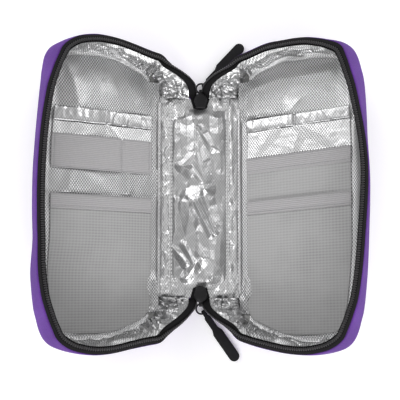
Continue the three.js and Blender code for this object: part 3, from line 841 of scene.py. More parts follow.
class BuildStage(bpy.types.Operator):
    """Camera, lamps, world and the white floor"""

    bl_idname = "case.stage"
    bl_label = "Camera, light and floor"

    def execute(self, context):
        scene = context.scene
        scene.view_settings.view_transform = "Standard"
        camera = bpy.data.objects.new("camera", bpy.data.cameras.new("camera"))
        camera.location = (0.00057, -0.0322, 0.4527)
        camera.rotation_euler = (0.0675, 0, 0)
        camera.data.lens = 57.99
        camera.data.sensor_width = 36
        camera.data.clip_start = 0.01
        scene.collection.objects.link(camera)
        scene.camera = camera

        bm = bmesh.new()
        bmesh.ops.create_grid(bm, x_segments=24, y_segments=24, size=4.0)
        bmesh.ops.translate(bm, verts=bm.verts, vec=(0, 0, -0.0002))
        floor = new_object("floor", bm, floor_finish())

        for name, place, size, power in LAMPS:
            data = bpy.data.lights.new(name, "AREA")
            data.shape = "RECTANGLE"
            data.size, data.size_y = size, size * 0.7
            data.energy = power
            lamp = bpy.data.objects.new(name, data)
            lamp.location = place
            lamp.rotation_euler = (-Vector(place)).to_track_quat("-Z", "Y").to_euler()
            scene.collection.objects.link(lamp)

        world = bpy.data.worlds.new("studio")
        world.use_nodes = True
        tree = world.node_tree
        tree.nodes.clear()
        way = node(tree, "TexCoord").outputs["Generated"]
        height = node(tree, "SeparateXYZ", i0=way).outputs[2]
        sky, low = ramp(tree, height, 0.14, 0.36, 0.05, 0.6), ramp(tree, height, 0.0, -0.1, 0.8, 1.0)
        level = maths(tree, "ADD", sky, low)
        for direction, share, first, last in SOFT_BOXES:
            near = node(tree, "VectorMath", {"operation": "DOT_PRODUCT"},
                        i0=way, i1=Vector(direction).normalized())
            box = node(tree, "MapRange", {"interpolation_type": "SMOOTHSTEP"},
                       i0=near.outputs["Value"], i1=first, i2=last, i3=0.0, i4=share)
            level = maths(tree, "ADD", box.outputs[0], level)
        colour = node(tree, "CombineColor", i0=level, i1=level, i2=level)
        background = node(tree, "Background", Color=colour.outputs[0], Strength=1.0)
        out = tree.nodes.new("ShaderNodeOutputWorld")
        tree.links.new(background.outputs[0], out.inputs[0])
        scene.world = world
        return {"FINISHED"}


class BuildCovers(bpy.types.Operator):
    """Purple covers of both halves, with their foam, and of the spine"""

    bl_idname = "case.covers"
    bl_label = "Covers and foam"

    def execute(self, context):
        fabric, foam = cover_fabric(), foam_finish()
        columns = sizes().outline_columns
        for side_name, side in SIDES:
            def ripple(flat, share, height, plane, key=side):
                return 0.00022 * np.sin(flat[:, 0] * 90 + key) * np.sin(flat[:, 1] * 70 + 2 * key)

            profile = profile_of(0.0, EDGE_RADIUS, -SHELL, COVER_TOP, 12, 6, 8)
            bm = shell_sheet(side, profile, columns, lift=ripple, swell=0.0006)
            cover = thicken(new_object(f"{side_name}_cover", bm, fabric), COVER)
            cloth(cover)
            dress(cover, f"{side_name}_half", f"{side_name}_outer_cover")

            inset = COVER + LAYER_GAP
            profile = profile_of(inset, EDGE_RADIUS - inset, inset - SHELL, layer_top(inset), 8, 4, 4)
            bm = shell_sheet(side, profile, columns // 3)
            core = thicken(new_object(f"{side_name}_foam_shell", bm, foam), FOAM)
            dress(core, f"{side_name}_half", f"{side_name}_foam_core")

            def arc(s, t, side=side):
                turn = -math.pi / 2 + sizes().open_tilt * (0.02 + 0.96 * t)
                x = sizes().spine_half_width + SHELL * np.cos(turn)
                y = (s - 0.5) * 2 * (SPINE_HALF_LENGTH - SPINE_EDGE)
                return np.stack([side * x, y, SHELL + SHELL * np.sin(turn)], -1)

            bm = laid_grid(60, 6, arc, DOWN, lambda s, t: np.stack([t * 0.002, s * 0.14], -1))
            fold = thicken(new_object(f"{side_name}_fold", bm, fabric), COVER)
            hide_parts(f"{side_name}_hinge_fold")
            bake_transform(fold)

        across = sizes().spine_half_width - SPINE_EDGE
        for name, node_name, height, depth, material, slot in (
            ("spine_cover", "spine_outer_cover", 0.0, COVER, fabric, "purple_fabric"),
            ("spine_foam_pad", "spine_foam", 0.0012, FOAM, foam, "foam"),
        ):
            def flat_sheet(s, t, height=height):
                x, y = (s - 0.5) * 2 * across, (t - 0.5) * 2 * SPINE_HALF_LENGTH
                return np.stack([x, y, np.full_like(s, height)], -1)

            piece = thicken(new_object(name, laid_grid(30, 70, flat_sheet, DOWN), material), depth)
            if slot == "foam":
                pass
            else:
                cloth(piece)
            dress(piece, "spine", node_name)
        return {"FINISHED"}


# Folds in the foil of each panel: u and v of their lines in mm, heights in mm, slope of their sides
FLOOR_FOLDS = {
    -1: (
        (((67.7, 90), (63.5, 76.3), (59.3, 57)), (2.6, 3.2), 0.24),
        (((32, 92), (22, 74), (17, 57)), (1.2, 2.0), 0.16),
        (((53, 92), (44, 70), (48, 57)), (0.8, 0.6), 0.08),
        (((23.5, 2), (23.5, 17)), (1.6, 1.6), 0.3),
        (((66, 2), (62, 17)), (1.4, 1.0), 0.2),
        (((38, 3), (58, 15)), (0.4, 0.8), 0.1),
    ),
    1: (
        (((8, 74), (28.8, 79.9), (61.4, 84)), (1.8, 1.8), 0.3),
        (((14, 72), (14, 56)), (1.4, 1.8), 0.2),
        (((36, 82), (42, 57)), (0.8, 1.2), 0.10),
        (((73, 82), (76, 57)), (1.0, 1.8), 0.2),
    ),
}
# Stretches along the spine, in metres, where the floor of a half isn't under a pocket
OPEN_FLOORS = {-1: ((0.055, 0.1), (0.0, 0.0175)), 1: ((0.053, 0.1),)}


class BuildLinings(bpy.types.Operator):
    """Foil linings of both halves, and the stitches of their seams"""

    bl_idname = "case.linings"
    bl_label = "Foil linings of the halves"

    def execute(self, context):
        foil = foil_finish()
        thread = thread_finish("grey_thread", finishes().thread)
        crease = sizes().foil_crease
        for side_name, side in SIDES:
            def creases(flat, share, height, plane, side=side):
                along = plane[:, 1]
                wall = smooth(height / 0.004)
                near = (1 - smooth((plane[:, 0] - 0.006) / 0.006)) * smooth((np.abs(along) - 0.05) / 0.008)
                opened = sum(
                    smooth((along - low) / 0.003) * (1 - smooth((along - high) / 0.003))
                    for low, high in OPEN_FLOORS[side]
                )
                ends = smooth((np.abs(along) - 0.07) / 0.02)
                ridge = 0.0011 * ends * hump(height, 0.0002, 0.00035)
                folds = tents(plane, FLOOR_FOLDS[side])
                soft = np.maximum(0, (0.95 + 0.25 * side) * (0.7 + creased(flat, 0.026, 3 + side)))
                rough = 0.7 + 0.8 * foil_creases(flat, 3 + side, (0.7, 1.5))
                floor = crease * (near * rough + opened * soft) + folds * opened * (1 - near)
                return (1 - wall) * (floor + ridge) + wall_creases(side, share, np.sign(along), height)

            radius = LINING_RADIUS + LINING
            profile = profile_of(SHELL - LINING, radius, -LINING, layer_top(SHELL), 60, 12, 34)
            bm = shell_sheet(side, profile, sizes().outline_columns + 100, creases)
            lining = thicken(new_object(f"{side_name}_lining", bm, foil), LINING)
            cloth(lining)
            dress(lining, f"{side_name}_half", f"{side_name}_foil_lining")

            for name, first, last in (("top", 0.10, 0.36), ("bottom", 0.64, 0.90)):
                shares = np.linspace(first, last, 60)
                ground = np.zeros_like(shares)
                foot = inset_at(shares, ground, ground + SHELL + LINING_RADIUS - 0.0004)
                line = on_half(side, foot[:, 0], foot[:, 1], ground + 0.0013)
                stitch_row(f"{side_name}_{name}_seam_stitches", line, [UP] * 60, thread,
                           f"{side_name}_half", pitch=0.0021)
        return {"FINISHED"}


class BuildZip(bpy.types.Operator):
    """Zip tapes and teeth on the stiff part of both rims"""

    bl_idname = "case.zip"
    bl_label = "Zip tapes and teeth"

    def execute(self, context):
        tape, tooth = tape_finish(), tooth_finish()
        unit = tooth_mesh()
        for side_name, side in SIDES:
            start = float(share_at(CORNER_END, np.array([COVER_TOP]))[0])
            bm = tape_sheet(side, 1, start, 1 - start, on_half, sizes().outline_columns + 40)
            band = thicken(new_object(f"{side_name}_tape", bm, tape), TAPE)
            dress(band, f"{side_name}_half", f"{side_name}_zip_tape")
            teeth = repeated(f"{side_name}_teeth", unit, teeth_along(side, start, 1 - start, on_half), tooth)
            dress(teeth, f"{side_name}_half", f"{side_name}_zip_coil")
        return {"FINISHED"}


# Section of the tape, from its outer foot over the rim to its inner foot: share of its width, then inset
# and height in mm on the stiff rim, on the upright far rim, and beside the slider
TAPE_POINTS = (
    (0.0, (0.4, 24.1), (0.4, 24.1), (3.3, 21.8)),
    (0.3, (2.4, 24.9), (2.1, 25.4), (3.6, 25.2)),
    (0.6, (5.3, 26.0), (4.5, 26.9), (5.0, 26.2)),
    (0.7, (5.7, 25.8), (4.9, 26.6), (5.9, 25.4)),
    (1.0, (5.8, 25.2), (5.0, 25.9), (6.0, 20.8)),
)


def tape_section(share, along, t):
    """Inset and height of the tape at a share of the rim"""
    lean = tape_lean(share, along)
    upright = 1 - smooth((np.abs(share - 0.5) - 0.14) / 0.07)
    stops = [point[0] for point in TAPE_POINTS]
    rim, far, slider = (
        np.stack([np.interp(t, stops, [point[kind][axis] for point in TAPE_POINTS]) for axis in (0, 1)], -1)
        for kind in (1, 2, 3)
    )
    section = rim + (far - rim) * upright[..., None]
    section = (section + (slider - section) * lean[..., None]) * 0.001
    flap = 4 * lean * (1 - lean) * smooth((t - 0.5) / 0.5)
    return section[..., 0] + 0.0012 * flap, section[..., 1] - 0.0005 * flap


def tape_sheet(side, end, first, last, fold, columns):
    """The tape between two shares of the rim"""
    def place(s, t):
        share = first + (last - first) * s
        flat_top = np.full_like(s, COVER_TOP)
        along = outline_at(share, flat_top)[:, 1]
        inset, height = tape_section(share, along, t)
        plane = inset_at(share, flat_top, inset)
        return fold(side, plane[:, 0], end * plane[:, 1], height, along)

    run = OUTLINE_LENGTH * abs(last - first)
    return laid_grid(columns, 20, place, UP, lambda s, t: np.stack([s * run, t * TAPE_RUN], -1))


def tooth_mesh():
    """One turn of the coil seen from above: a rounded bar with a thicker head at the inner end"""
    bm = bmesh.new()
    bmesh.ops.create_cube(bm, size=1)
    bmesh.ops.subdivide_edges(
        bm, edges=[edge for edge in bm.edges if abs(edge.verts[0].co.x - edge.verts[1].co.x) > 0.5], cuts=2)
    for vert in bm.verts:
        head = vert.co.x > 0.1
        end = abs(vert.co.x) > 0.4
        vert.co.x *= 0.0023
        vert.co.y *= 0.00105 * (1.0 if head and not end else 0.8 if not end else 0.6)
        vert.co.z *= 0.00115 * (1.0 if head and not end else 0.8 if not end else 0.5)
    return small_mesh("tooth", bm, 0.00016)


def teeth_along(side, first, last, fold, end=1):
    """Where each tooth goes, from one share of the rim to another, with even pitch"""
    shares = np.linspace(first, last, 1200)
    flat_top = np.full_like(shares, COVER_TOP)
    along = outline_at(shares, flat_top)[:, 1]

    def line(t, lift):
        inset, height = tape_section(shares, along, np.full_like(shares, t))
        lean = tape_lean(shares, along)
        plane = inset_at(shares, flat_top, inset + 0.5 * lift * lean)
        return fold(side, plane[:, 0], end * plane[:, 1], height + lift * (1 - 0.5 * lean), along)

    middles, inners, aboves = line(0.47, 0.0006), line(0.58, 0.0006), line(0.47, 0.0016)
    lengths = lengths_along(middles)
    count = int(lengths[-1] / sizes().tooth_pitch)
    matrices = []
    for step in range(count):
        place = (step + 0.5) * lengths[-1] / count
        point, inward, above = (point_along(line, lengths, place) for line in (middles, inners, aboves))
        matrices.append(frame_along(point, inward - point, above - point))
    return matrices


class BuildCorners(bpy.types.Operator):
    """Soft corners that bend between the spine and each half"""

    bl_idname = "case.corners"
    bl_label = "Soft corners"

    def execute(self, context):
        fabric, foam = cover_fabric(), foam_finish()
        foil = foil_finish("corner_foil", emboss=0.4, rough=0.3, crinkle=0.6)
        tape, tooth = tape_finish(), tooth_finish()
        unit = tooth_mesh()
        for side_name, side in SIDES:
            for end_name, end in ENDS:
                stem = f"{side_name}_{end_name}_corner"

                def finish(piece, slot, node_name=None, thickness=None):
                    """Thicken a corner's piece, hide the part that it stands for and bake its place into its
                    mesh; its shape already follows the spine at its foot and the half at its wall
                    """
                    if thickness:
                        thicken(piece, thickness)
                    if node_name:
                        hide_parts(f"{stem}_{node_name}")
                    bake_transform(piece)
                    return piece

                def creases(share, height, side=side, end=end):
                    return wall_creases(side, share, end, height)

                bm = corner_sheet(side, end, 0.0, 0.0, lambda lean: COVER_TOP, 30, 26)
                skin = finish(new_object(f"{stem}_skin", bm, fabric), "purple_fabric", "cover", COVER)
                cloth(skin)
                bm = corner_sheet(side, end, COVER + LAYER_GAP, LAYER_GAP,
                                  lambda lean: layer_top(COVER + LAYER_GAP) - 0.011 * lean, 12, 8)
                finish(new_object(f"{stem}_pad", bm, foam), "foam", "foam", FOAM)
                bm = corner_sheet(side, end, SHELL - LINING, -LINING,
                                  lambda lean: layer_top(SHELL) - 0.0036 * lean, 80, 90, creases)
                lining = finish(new_object(f"{stem}_foil", bm, foil), "foil", "lining", LINING)
                cloth(lining)

                flat_top = np.array([COVER_TOP])
                start = float(share_at(CORNER_START + 0.0005, flat_top)[0])
                stop = float(share_at(CORNER_END, flat_top)[0])
                bm = tape_sheet(side, end, start, stop, on_corner, 60)
                finish(new_object(f"{stem}_tape", bm, tape), "zip_tape", "zip_tape", TAPE)
                places = teeth_along(side, start, stop, on_corner, end)
                finish(repeated(f"{stem}_teeth", unit, places, tooth), "zip_coil")
        return {"FINISHED"}


# Folds of the loose foil along the spine: x and y of their lines in mm, heights in mm, slope
GUSSET_FOLDS = (
    (((-3.4, 61), (-3.4, 46.8), (-1.9, 31.5)), (1.6, 2.6), 0.30),
    (((-1.9, 31.5), (-12.2, 21.6)), (2.6, 1.9), 0.42),
    (((-12.2, 21.6), (-6, 18), (2, 10.5)), (2.0, 3.0), 0.40),
    (((-1.9, 31.5), (3.4, 9.9), (3.4, 5.5)), (2.6, 3.2), 0.38),
    (((3.4, 5.5), (-6.9, -0.7)), (3.2, 2.6), 0.42),
    (((-2, 45.9), (3.8, 14.5), (5.6, 0.2), (10.8, -19.4)), (2.2, 1.6), 0.34),
    (((-6.9, -0.7), (-7.3, -6.8), (-4.1, -19.4), (-0.6, -31.7), (1.1, -41.4)), (2.6, 3.0), 0.36),
    (((1.1, -41.4), (-9.4, -56.3)), (3.0, 1.6), 0.40),
    (((-3.3, -3.4), (8.2, -26.4)), (2.4, 2.2), 0.55),
    (((1.1, -0.7), (10.8, -24.7)), (2.4, 2.0), 0.55),
    (((-1.5, 48.6), (8.3, 35), (14.6, 31.5)), (2.2, 1.4), 0.42),
    (((-17.8, -35.3), (-8.6, -45.8)), (1.2, 2.0), 0.40),
    (((-10.4, -33), (-4.1, -44.9)), (1.6, 2.4), 0.42),
    (((13, 55), (15, 20)), (1.4, 1.0), 0.22),
    (((-14, 52), (-12, 28)), (1.3, 1.2), 0.2),
    (((12, -30), (9, -58)), (1.4, 1.2), 0.2),
)
GUSSET_HALF_WIDTH = 0.0195
GUSSET_HALF_LENGTH = 0.064


class BuildSpine(bpy.types.Operator):
    """Foil of the spine: its lining, the loose creased foil over it, the seam bindings and stitches"""

    bl_idname = "case.spine"
    bl_label = "Spine foil"

    def execute(self, context):
        foil = foil_finish("spine_foil", emboss=0.35, rough=0.3)
        thread = thread_finish("pale_thread", finishes().pale_thread)
        across = sizes().spine_half_width - SPINE_EDGE

        def lining(s, t):
            x, y = (s - 0.5) * 2 * across, (t - 0.5) * 2 * CORNER_START
            strip = smooth((np.abs(x) - 0.0184) / 0.0010)
            strip = strip * np.clip((0.0272 - np.abs(x)) / 0.0046, 0, 1) ** 1.2
            flat = np.stack([x, y], -1)
            pleats = creased(flat, 0.005, 31, (0.8, 3.6)) + creased(flat, 0.0034, 37, (1, 1.5))
            pleats = 0.9 + 0.45 * pleats * smooth((np.abs(x) - 0.0200) / 0.001)
            ends = 1 - smooth((np.abs(y) - 0.066) / 0.004)
            loose = smooth((np.abs(y) - 0.053) / 0.004) * smooth((np.abs(x) - 0.008) / 0.004)
            crumple = 0.9 + creased(flat, 0.0085, 41) + 0.35 * creased(flat, 0.004, 43)
            crumple = 0.0011 * crumple * loose * (1 - strip)
            return np.stack([x, y, SHELL - 0.0001 + (0.0018 * strip * pleats + crumple) * ends], -1)

        # The spine's lining and seam bindings take the foil made 1.3 times as light: painted light
        lit_copy_foil = foil_finish("strip_foil", emboss=0.5, rough=0.3, tone=1.3)
        sheet = thicken(new_object("spine_lining", laid_grid(130, 240, lining, UP), lit_copy_foil), LINING)
        cloth(sheet)
        dress(sheet, "spine", "spine_foil_lining")

        def gusset(s, t):
            x = (s - 0.5) * 2 * GUSSET_HALF_WIDTH
            y = (t - 0.5) * 2 * (GUSSET_HALF_LENGTH - 0.0025 * np.abs(x / GUSSET_HALF_WIDTH) ** 5)
            flat = np.stack([x, y], -1)
            ragged = 0.14 + 0.05 * np.sin(97 * y + 2) + 0.04 * np.sin(231 * y)
            border = smooth((1 - np.abs(s * 2 - 1)) / ragged) * smooth((1 - np.abs(t * 2 - 1)) / 0.16)
            rise = 0.0004 + 0.0006 * np.sin(np.pi * s) + 1.45 * tents(flat, GUSSET_FOLDS)
            rise = rise + 0.0013 * (0.9 + creased(flat * (1.15, 0.5), 0.018, 51))
            rise = rise + 0.00045 * creased(flat, 0.0085, 55) + 0.00009 * creased(flat, 0.0036, 57)
            return np.stack([x, y, 0.00455 + rise * border], -1)

        loose = thicken(new_object("spine_creased_foil", laid_grid(150, 420, gusset, UP), foil), 0.0002)
        cloth(loose)
        dress(loose, "spine", "spine_foil_gusset")

        for side_name, side in SIDES:
            def cord(s, t, side=side):
                turn = 2 * np.pi * t
                y = (s - 0.5) * 2 * BINDING_HALF_LENGTH
                taper = smooth((BINDING_HALF_LENGTH - np.abs(y)) / 0.003)
                flat = np.stack([turn * 0.001, y], -1)
                radius = 0.00105 * taper * (1 + 0.16 * creased(flat, 0.0021, 61 + side, (1.2, 1.6)))
                x = side * sizes().spine_half_width + radius * np.cos(turn) * 1.15
                return np.stack([x, y, BINDING_HEIGHT + radius * np.sin(turn)], -1)

            bm = laid_grid(260, 14, cord, (side * sizes().spine_half_width, 0.0, BINDING_HEIGHT),
                           lambda s, t: np.stack([t * 0.0063, s * 0.138], -1))
            bmesh.ops.remove_doubles(bm, verts=bm.verts, dist=0.00002)
            binding = new_object(f"{side_name}_binding", bm, lit_copy_foil)
            dress(binding, "spine", f"{side_name}_seam_binding")
            for number, x in enumerate((0.0190, 0.0204)):
                line = np.array([(side * x, y, 0.0064) for y in np.linspace(-0.064, 0.064, 30)])
                stitch_row(f"{side_name}_spine_stitches_{number}", line, [UP] * 30, thread,
                           "spine", width=0.0008, cover=0.62)

        tape = tape_finish()
        for end_name, end in ENDS:
            def flat_tape(s, t, end=end):
                x = SLIDER_OFFSET * 0.6 + (s - 0.5) * 2 * (0.0048 + 0.0026 * t)
                y = end * (0.0628 + t * 0.0087 - 0.0012 * np.sin(np.pi * s))
                return np.stack([x, y, 0.0050 + 0.0003 * np.sin(np.pi * s)], -1)

            bm = laid_grid(16, 12, flat_tape, UP)
            dress(thicken(new_object(f"{end_name}_tape_tail", bm, tape), 0.0004), "spine")
        return {"FINISHED"}


# Pockets and bands

def floor_edges():
    """Where the flat ground of a half starts and ends, away from the hinge, for a place along the spine"""
    shares = np.linspace(0.5, 1, 500)
    ground = np.zeros_like(shares)
    line = inset_at(shares, ground, np.full_like(shares, SHELL + LINING_RADIUS))
    lowest = int(np.argmin(line[:, 1]))
    far, near = line[:lowest + 1][::-1], line[lowest:]

    def edges(v):
        v = -np.abs(v)
        far_edge = np.interp(v, far[:, 1], far[:, 0])
        near_edge = np.interp(v, near[:, 1], near[:, 0])
        return np.maximum(near_edge, POCKET_NEAR), np.minimum(far_edge, POCKET_FAR)

    return edges, line[lowest, 1]


def sewn_place(side, lower, upper, slope, lift):
    """Place and flat pattern of a piece sewn to the ground of a half, from its lower edge to its upper.
    lift(s, t) is its height over the ground, with t 0 at the lower edge."""
    edges, lowest = floor_edges()

    def plane(s, t):
        v = lower + (upper - lower) * t
        near, far = edges(np.clip(v, lowest, None))
        u = near + (far - near) * s
        return u, v + slope * (u - (POCKET_NEAR + POCKET_FAR) / 2)

    def place(s, t, above=0.0):
        u, v = plane(s, t)
        return on_half(side, u, v, lift(s, t) + above)

    def unfolded(s, t):
        u, v = plane(s, t)
        return np.stack([side * u, v - slope * u], -1)

    return place, unfolded


# Pieces sewn to each half: CAD node, lower and upper edge in mm, kind
SEWN = {
    -1: (
        ("foil_pocket", 17.5, 48.0, "foil"),
        ("foil_pocket_hem", 47.8, 57.2, "foil_hem"),
        ("elastic_band", 16.4, 39.3, "band"),
        ("mesh_pocket", -93.0, -9.9, "mesh"),
        ("mesh_pocket_hem", -10.2, 0.0, "hem"),
    ),
    1: (
        ("foil_pocket", 28.6, 47.2, "foil"),
        ("foil_pocket_hem", 47.0, 55.4, "foil_hem"),
        ("rear_mesh_pocket", -1.2, 18.4, "mesh"),
        ("rear_mesh_hem", 18.0, 28.8, "hem"),
        ("front_mesh_pocket", -93.0, -10.0, "mesh"),
        ("front_mesh_hem", -10.2, -0.6, "hem"),
    ),
}
HEM_SLOPES = {-1: 0.03, 1: 0.075}
FOIL_POCKET_RISES = {-1: 0.0305, 1: 0.0186}
FOLDS_IN_HEM = 0.03  # height in the folds' table at which a hem crosses them

# Folds of the foil pockets: along and up the pocket in mm, heights in mm, slope
FOIL_POCKET_FOLDS = {
    -1: ((((36, 30), (26, 22)), (1.6, 0.4), 0.22), (((38, 30), (50, 22)), (1.6, 0.4), 0.22),
         (((60, 30), (66, 22)), (0.8, 0.3), 0.12)),
    1: ((((6, 2), (20, 18)), (0.8, 1.4), 0.2), (((41, 18), (34, 0)), (1.6, 0.8), 0.22),
        (((41, 18), (56, 10), (68, 0)), (1.6, 1.2), 0.24)),
}

# Places of the stitch rows along a piece, and of the short ones across it, as shares of it
SEAMS = {"foil_hem": (0.12,), "hem": (0.16, 0.9), "band": (0.03, 0.97)}
BARTACKS = {"band": (0.03, 0.315, 0.97), "foil_hem": (0.48,)}


class BuildPockets(bpy.types.Operator):
    """Foil pockets, mesh pockets, their hems, the elastic band and their stitches"""

    bl_idname = "case.pockets"
    bl_label = "Pockets and bands"

    def execute(self, context):
        kinds = {  # finish, slot, rows and thickness
            # The pocket foil and its hem are the lining foil made 1.5 and 1.2 times as light: painted light
            "foil": (foil_finish("pocket_foil", tone=1.5), "foil", 30, 0.0005),
            "foil_hem": (foil_finish("hem_foil", emboss=0.5, tone=1.2), "foil", 18, 0.0009),
            "band": (elastic_finish(), "grey_band", 46, 0.0009),
            "hem": (elastic_finish(), "grey_band", 20, 0.0009),
            "mesh": (mesh_finish(), "grey_mesh", 60, 0.0005),
        }
        thread = thread_finish("grey_thread", finishes().thread)
        tilt = sizes().open_tilt
        for side_name, side in SIDES:
            body, up = f"{side_name}_half", Vector((-side * math.sin(tilt), 0, math.cos(tilt)))
            for order, (node_name, lower, upper, kind) in enumerate(SEWN[side]):
                def lift(s, t, kind=kind, key=order + 10 * side):
                    return self.lift(side, kind, key, s, t)

                finish, slot, rows, thickness = kinds[kind]
                place, unfolded = sewn_place(side, lower * 0.001, upper * 0.001, HEM_SLOPES[side], lift)
                bm = laid_grid(120, rows, place, up, unfolded)
                piece = thicken(new_object(f"{side_name}_{node_name}_cloth", bm, finish), thickness)
                cloth(piece)
                dress(piece, body, f"{side_name}_{node_name}")

                along, across = np.linspace(0.01, 0.99, 90), np.linspace(0.04, 0.96, 30)
                lines = [("stitches", number, along, np.full_like(along, t))
                         for number, t in enumerate(SEAMS.get(kind, ()))]
                lines += [("bartack", number, np.full_like(across, s), across)
                          for number, s in enumerate(BARTACKS.get(kind, ()))]
                for name, number, s, t in lines:
                    name = f"{side_name}_{node_name}_{name}_{number}"
                    stitch_row(name, place(s, t, 0.00012), [up] * len(s), thread, body,
                               pitch=0.0019, width=0.0004)
        return {"FINISHED"}

    def lift(self, side, kind, key, s, t):
        """Height of a sewn piece over the ground"""
        crown = np.sin(np.pi * np.clip(s, 0, 1)) ** 0.5
        if kind == "mesh":
            opening = smooth((t - 0.5) / 0.5)
            wave = 0.35 + 0.3 * np.sin(9 * s + key) * np.sin(3.2 * t + key)
            return 0.0008 + crown * (0.0011 * opening + 0.0009 * wave * np.sin(np.pi * t) ** 0.5)
        if kind in ("foil", "foil_hem"):
            flat = np.stack([s * 0.076, t * 0.03], -1)
            height = t * FOIL_POCKET_RISES[side] if kind == "foil" else np.full_like(t, FOLDS_IN_HEM)
            big = tents(np.stack([s * 0.076, height], -1), FOIL_POCKET_FOLDS[side])
            if kind == "foil":
                return 0.0009 + crown * (0.0009 * t + big) + 0.00018 * creased(flat, 0.008, key)
            roll = 0.0006 * np.sin(np.pi * np.clip(t, 0, 1)) ** 0.4
            pucker = 0.0004 * creased(flat, 0.006, key, (0.7, 3.5))
            notch = 0.0012 * np.exp(-((s - 0.48) / 0.012) ** 2)
            return 0.0019 + crown * (0.0010 + big - notch) + roll + pucker
        roll = 0.0005 * np.sin(np.pi * np.clip(t, 0, 1)) ** 0.35
        bulge = 0.0008 * crown
        if kind == "band":
            joint = np.exp(-((s - 0.315) / 0.018) ** 2)
            bulge = bulge + 0.0012 * np.sin(np.pi * np.clip((s - 0.32) / 0.66, 0, 1)) ** 0.7
            bulge = bulge * (1 - 0.85 * joint)
        return 0.0012 + bulge + roll


# Sliders and pulls

RING_RADIUS = 0.0036
RING_WIRE = 0.0013
LUG_MIDDLE = 0.0066
EYE_HEIGHT = 0.0007 + 0.00095 - 0.0042  # of the lug's bore, from the slider's underside
PULL_THICKNESS = 0.003
PULL_MIDDLE = 0.0004 + PULL_THICKNESS / 2 - SLIDER_SEAT  # of a pull on the table, from the same
PULL_HEADINGS = {"top": 43, "bottom": 35}


def slider_frame(end):
    seat = Matrix.Translation((SLIDER_OFFSET, end * SLIDER_PLACE, SLIDER_SEAT))
    return seat @ Matrix.Rotation(0 if end > 0 else math.pi, 4, "Z")


def ring_frame(end):
    droop = math.asin((EYE_HEIGHT - PULL_MIDDLE) / (2 * RING_RADIUS))
    turn = Matrix.Rotation(math.radians(-end * 8), 4, "Z") @ Matrix.Rotation(-droop, 4, "X")
    return Matrix.Translation((0, LUG_MIDDLE, EYE_HEIGHT)) @ turn


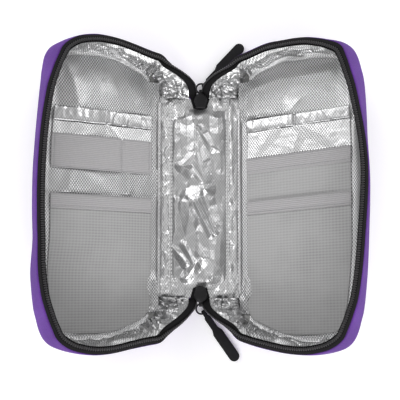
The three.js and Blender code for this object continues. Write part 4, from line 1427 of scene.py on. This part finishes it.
class BuildSliders(bpy.types.Operator):
    """Sliders, their rings and the rubber pulls"""

    bl_idname = "case.sliders"
    bl_label = "Sliders and pulls"

    def execute(self, context):
        metal, rubber = metal_finish(), rubber_finish()
        for end_name, end in ENDS:
            seat = slider_frame(end)
            heading = math.radians(-end * PULL_HEADINGS[end_name])
            eye = ring_frame(end) @ Vector((0, RING_RADIUS, 0))
            reach = RING_RADIUS * Vector((-math.sin(heading), math.cos(heading)))
            pull = Matrix.Translation((eye.x + reach.x, eye.y + reach.y, PULL_MIDDLE))
            ring = ring_frame(end) @ Matrix.Translation((0, RING_RADIUS, 0))
            for name, node_name, bm, frame, material, slot in (
                ("slider_body", "slider", self.slider_body(), Matrix(), metal, "slider_metal"),
                ("ring", "pull_ring", self.ring(), ring, metal, "slider_metal"),
                ("rubber_pull", "pull_tab", self.tab_body(), pull @ Matrix.Rotation(heading, 4, "Z"),
                 rubber, "pull_rubber"),
            ):
                bmesh.ops.transform(bm, matrix=seat @ frame, verts=bm.verts)
                piece = new_object(f"{end_name}_{name}", bm, material)
                dress(piece, f"{end_name}_{node_name}", f"{end_name}_{node_name}")
        return {"FINISHED"}

    def ring(self):
        """A round wire, swept once round"""
        bm = bmesh.new()
        bmesh.ops.create_circle(bm, segments=16, radius=RING_WIRE / 2)
        bmesh.ops.rotate(bm, verts=bm.verts, matrix=Matrix.Rotation(math.pi / 2, 3, "X"))
        bmesh.ops.translate(bm, verts=bm.verts, vec=(RING_RADIUS, 0, 0))
        bmesh.ops.spin(bm, geom=bm.edges[:] + bm.verts[:], cent=(0, 0, 0), axis=(0, 0, 1),
                       angle=2 * math.pi, steps=48, use_merge=True)
        bmesh.ops.recalc_face_normals(bm, faces=bm.faces)
        return bm

    def slider_body(self):
        """Crowned plates with a waist, teeth channels at the sides, and the lug for the ring"""
        bm = bmesh.new()
        bmesh.ops.create_cube(bm, size=1)
        bmesh.ops.subdivide_edges(bm, edges=bm.edges[:], cuts=5, use_grid_fill=True)
        for vert in bm.verts:
            x, y, z = vert.co * 2
            y_mm = y * 5
            width = 3.24 + (4.5 - 3.24) * smooth((y_mm + 5) / 5.5)
            if y_mm > 0.5:
                width = max(1.6, 4.5 * math.sqrt(max(0.0, 1 - ((y_mm - 0.5) / 4.7) ** 2)))
            channel = 0.78 if abs(z) < 0.3 and abs(x) > 0.9 else 1.0
            crown = 1 - 0.10 * (x * x + (y * 0.7) ** 2)
            vert.co = Vector((x * width * channel, y_mm, 2.2 + z * 2.2 * crown)) * 0.001
        edges = [edge for edge in bm.edges if edge.calc_face_angle(0) > 0.9]
        round_edges(bm, edges, 0.00035, 2)
        lug = bmesh.ops.create_cube(bm, size=1)["verts"]
        bmesh.ops.scale(bm, verts=lug, vec=(0.0024, 0.0040, 0.0070))
        bmesh.ops.translate(bm, verts=lug, vec=(0, 0.0062, 0.0035 - 0.0042))
        rims = list({edge for vert in lug for edge in vert.link_edges})
        round_edges(bm, rims, 0.0006, 3)
        return bm

    def tab_body(self):
        """The rubber pull: eye, neck, square shoulders and a round end, with soft edges"""
        outline = [(-1.5, -2.2), (1.5, -2.2), (1.5, 2.5), (2.3, 3.7), (2.3, 13), (3.7, 16.2)]
        turns = [math.pi * step / 12 for step in range(13)]
        outline += [(3.7 * math.cos(turn), 35.7 + 3.7 * math.sin(turn)) for turn in turns]
        outline += [(-3.7, 16.2), (-2.3, 13), (-2.3, 3.7), (-1.5, 2.5)]
        bm = bmesh.new()
        verts = [bm.verts.new((x * 0.001, y * 0.001, -PULL_THICKNESS / 2)) for x, y in outline]
        face = bm.faces.new(verts)
        raised = bmesh.ops.extrude_face_region(bm, geom=[face])
        tops = [item for item in raised["geom"] if isinstance(item, bmesh.types.BMVert)]
        bmesh.ops.translate(bm, verts=tops, vec=(0, 0, PULL_THICKNESS))
        bmesh.ops.recalc_face_normals(bm, faces=bm.faces)
        edges = [edge for edge in bm.edges if edge.calc_face_angle(0) > 0.9]
        round_edges(bm, edges, 0.0007, 4)
        return bm


PIECES = (
    BuildStage, BuildCovers, BuildLinings, BuildZip, BuildCorners, BuildSpine, BuildPockets, BuildSliders,
)


class CasePanel(bpy.types.Panel):
    """Sizes, colours and building steps of the case"""

    bl_idname = "VIEW3D_PT_cooling_case"
    bl_label = "Insulin cooling case"
    bl_space_type = "VIEW_3D"
    bl_region_type = "UI"
    bl_category = "Cooling case"

    def draw(self, context):
        layout = self.layout
        for piece in PIECES:
            layout.operator(piece.bl_idname)
        for group, values in ((CaseSizes, sizes()), (CaseFinishes, finishes())):
            for name in group.__annotations__:
                layout.prop(values, name)


CLASSES = (CaseSizes, CaseFinishes, *PIECES, CasePanel)


def register():
    for item in CLASSES:
        bpy.utils.register_class(item)
    bpy.types.Scene.case_sizes = bpy.props.PointerProperty(type=CaseSizes)
    bpy.types.Scene.case_finishes = bpy.props.PointerProperty(type=CaseFinishes)


def unregister():
    del bpy.types.Scene.case_finishes
    del bpy.types.Scene.case_sizes
    for item in reversed(CLASSES):
        bpy.utils.unregister_class(item)


def main():
    register()
    for piece in PIECES:
        group, name = piece.bl_idname.split(".")
        getattr(getattr(bpy.ops, group), name)()


if __name__ == "__main__":
    main()
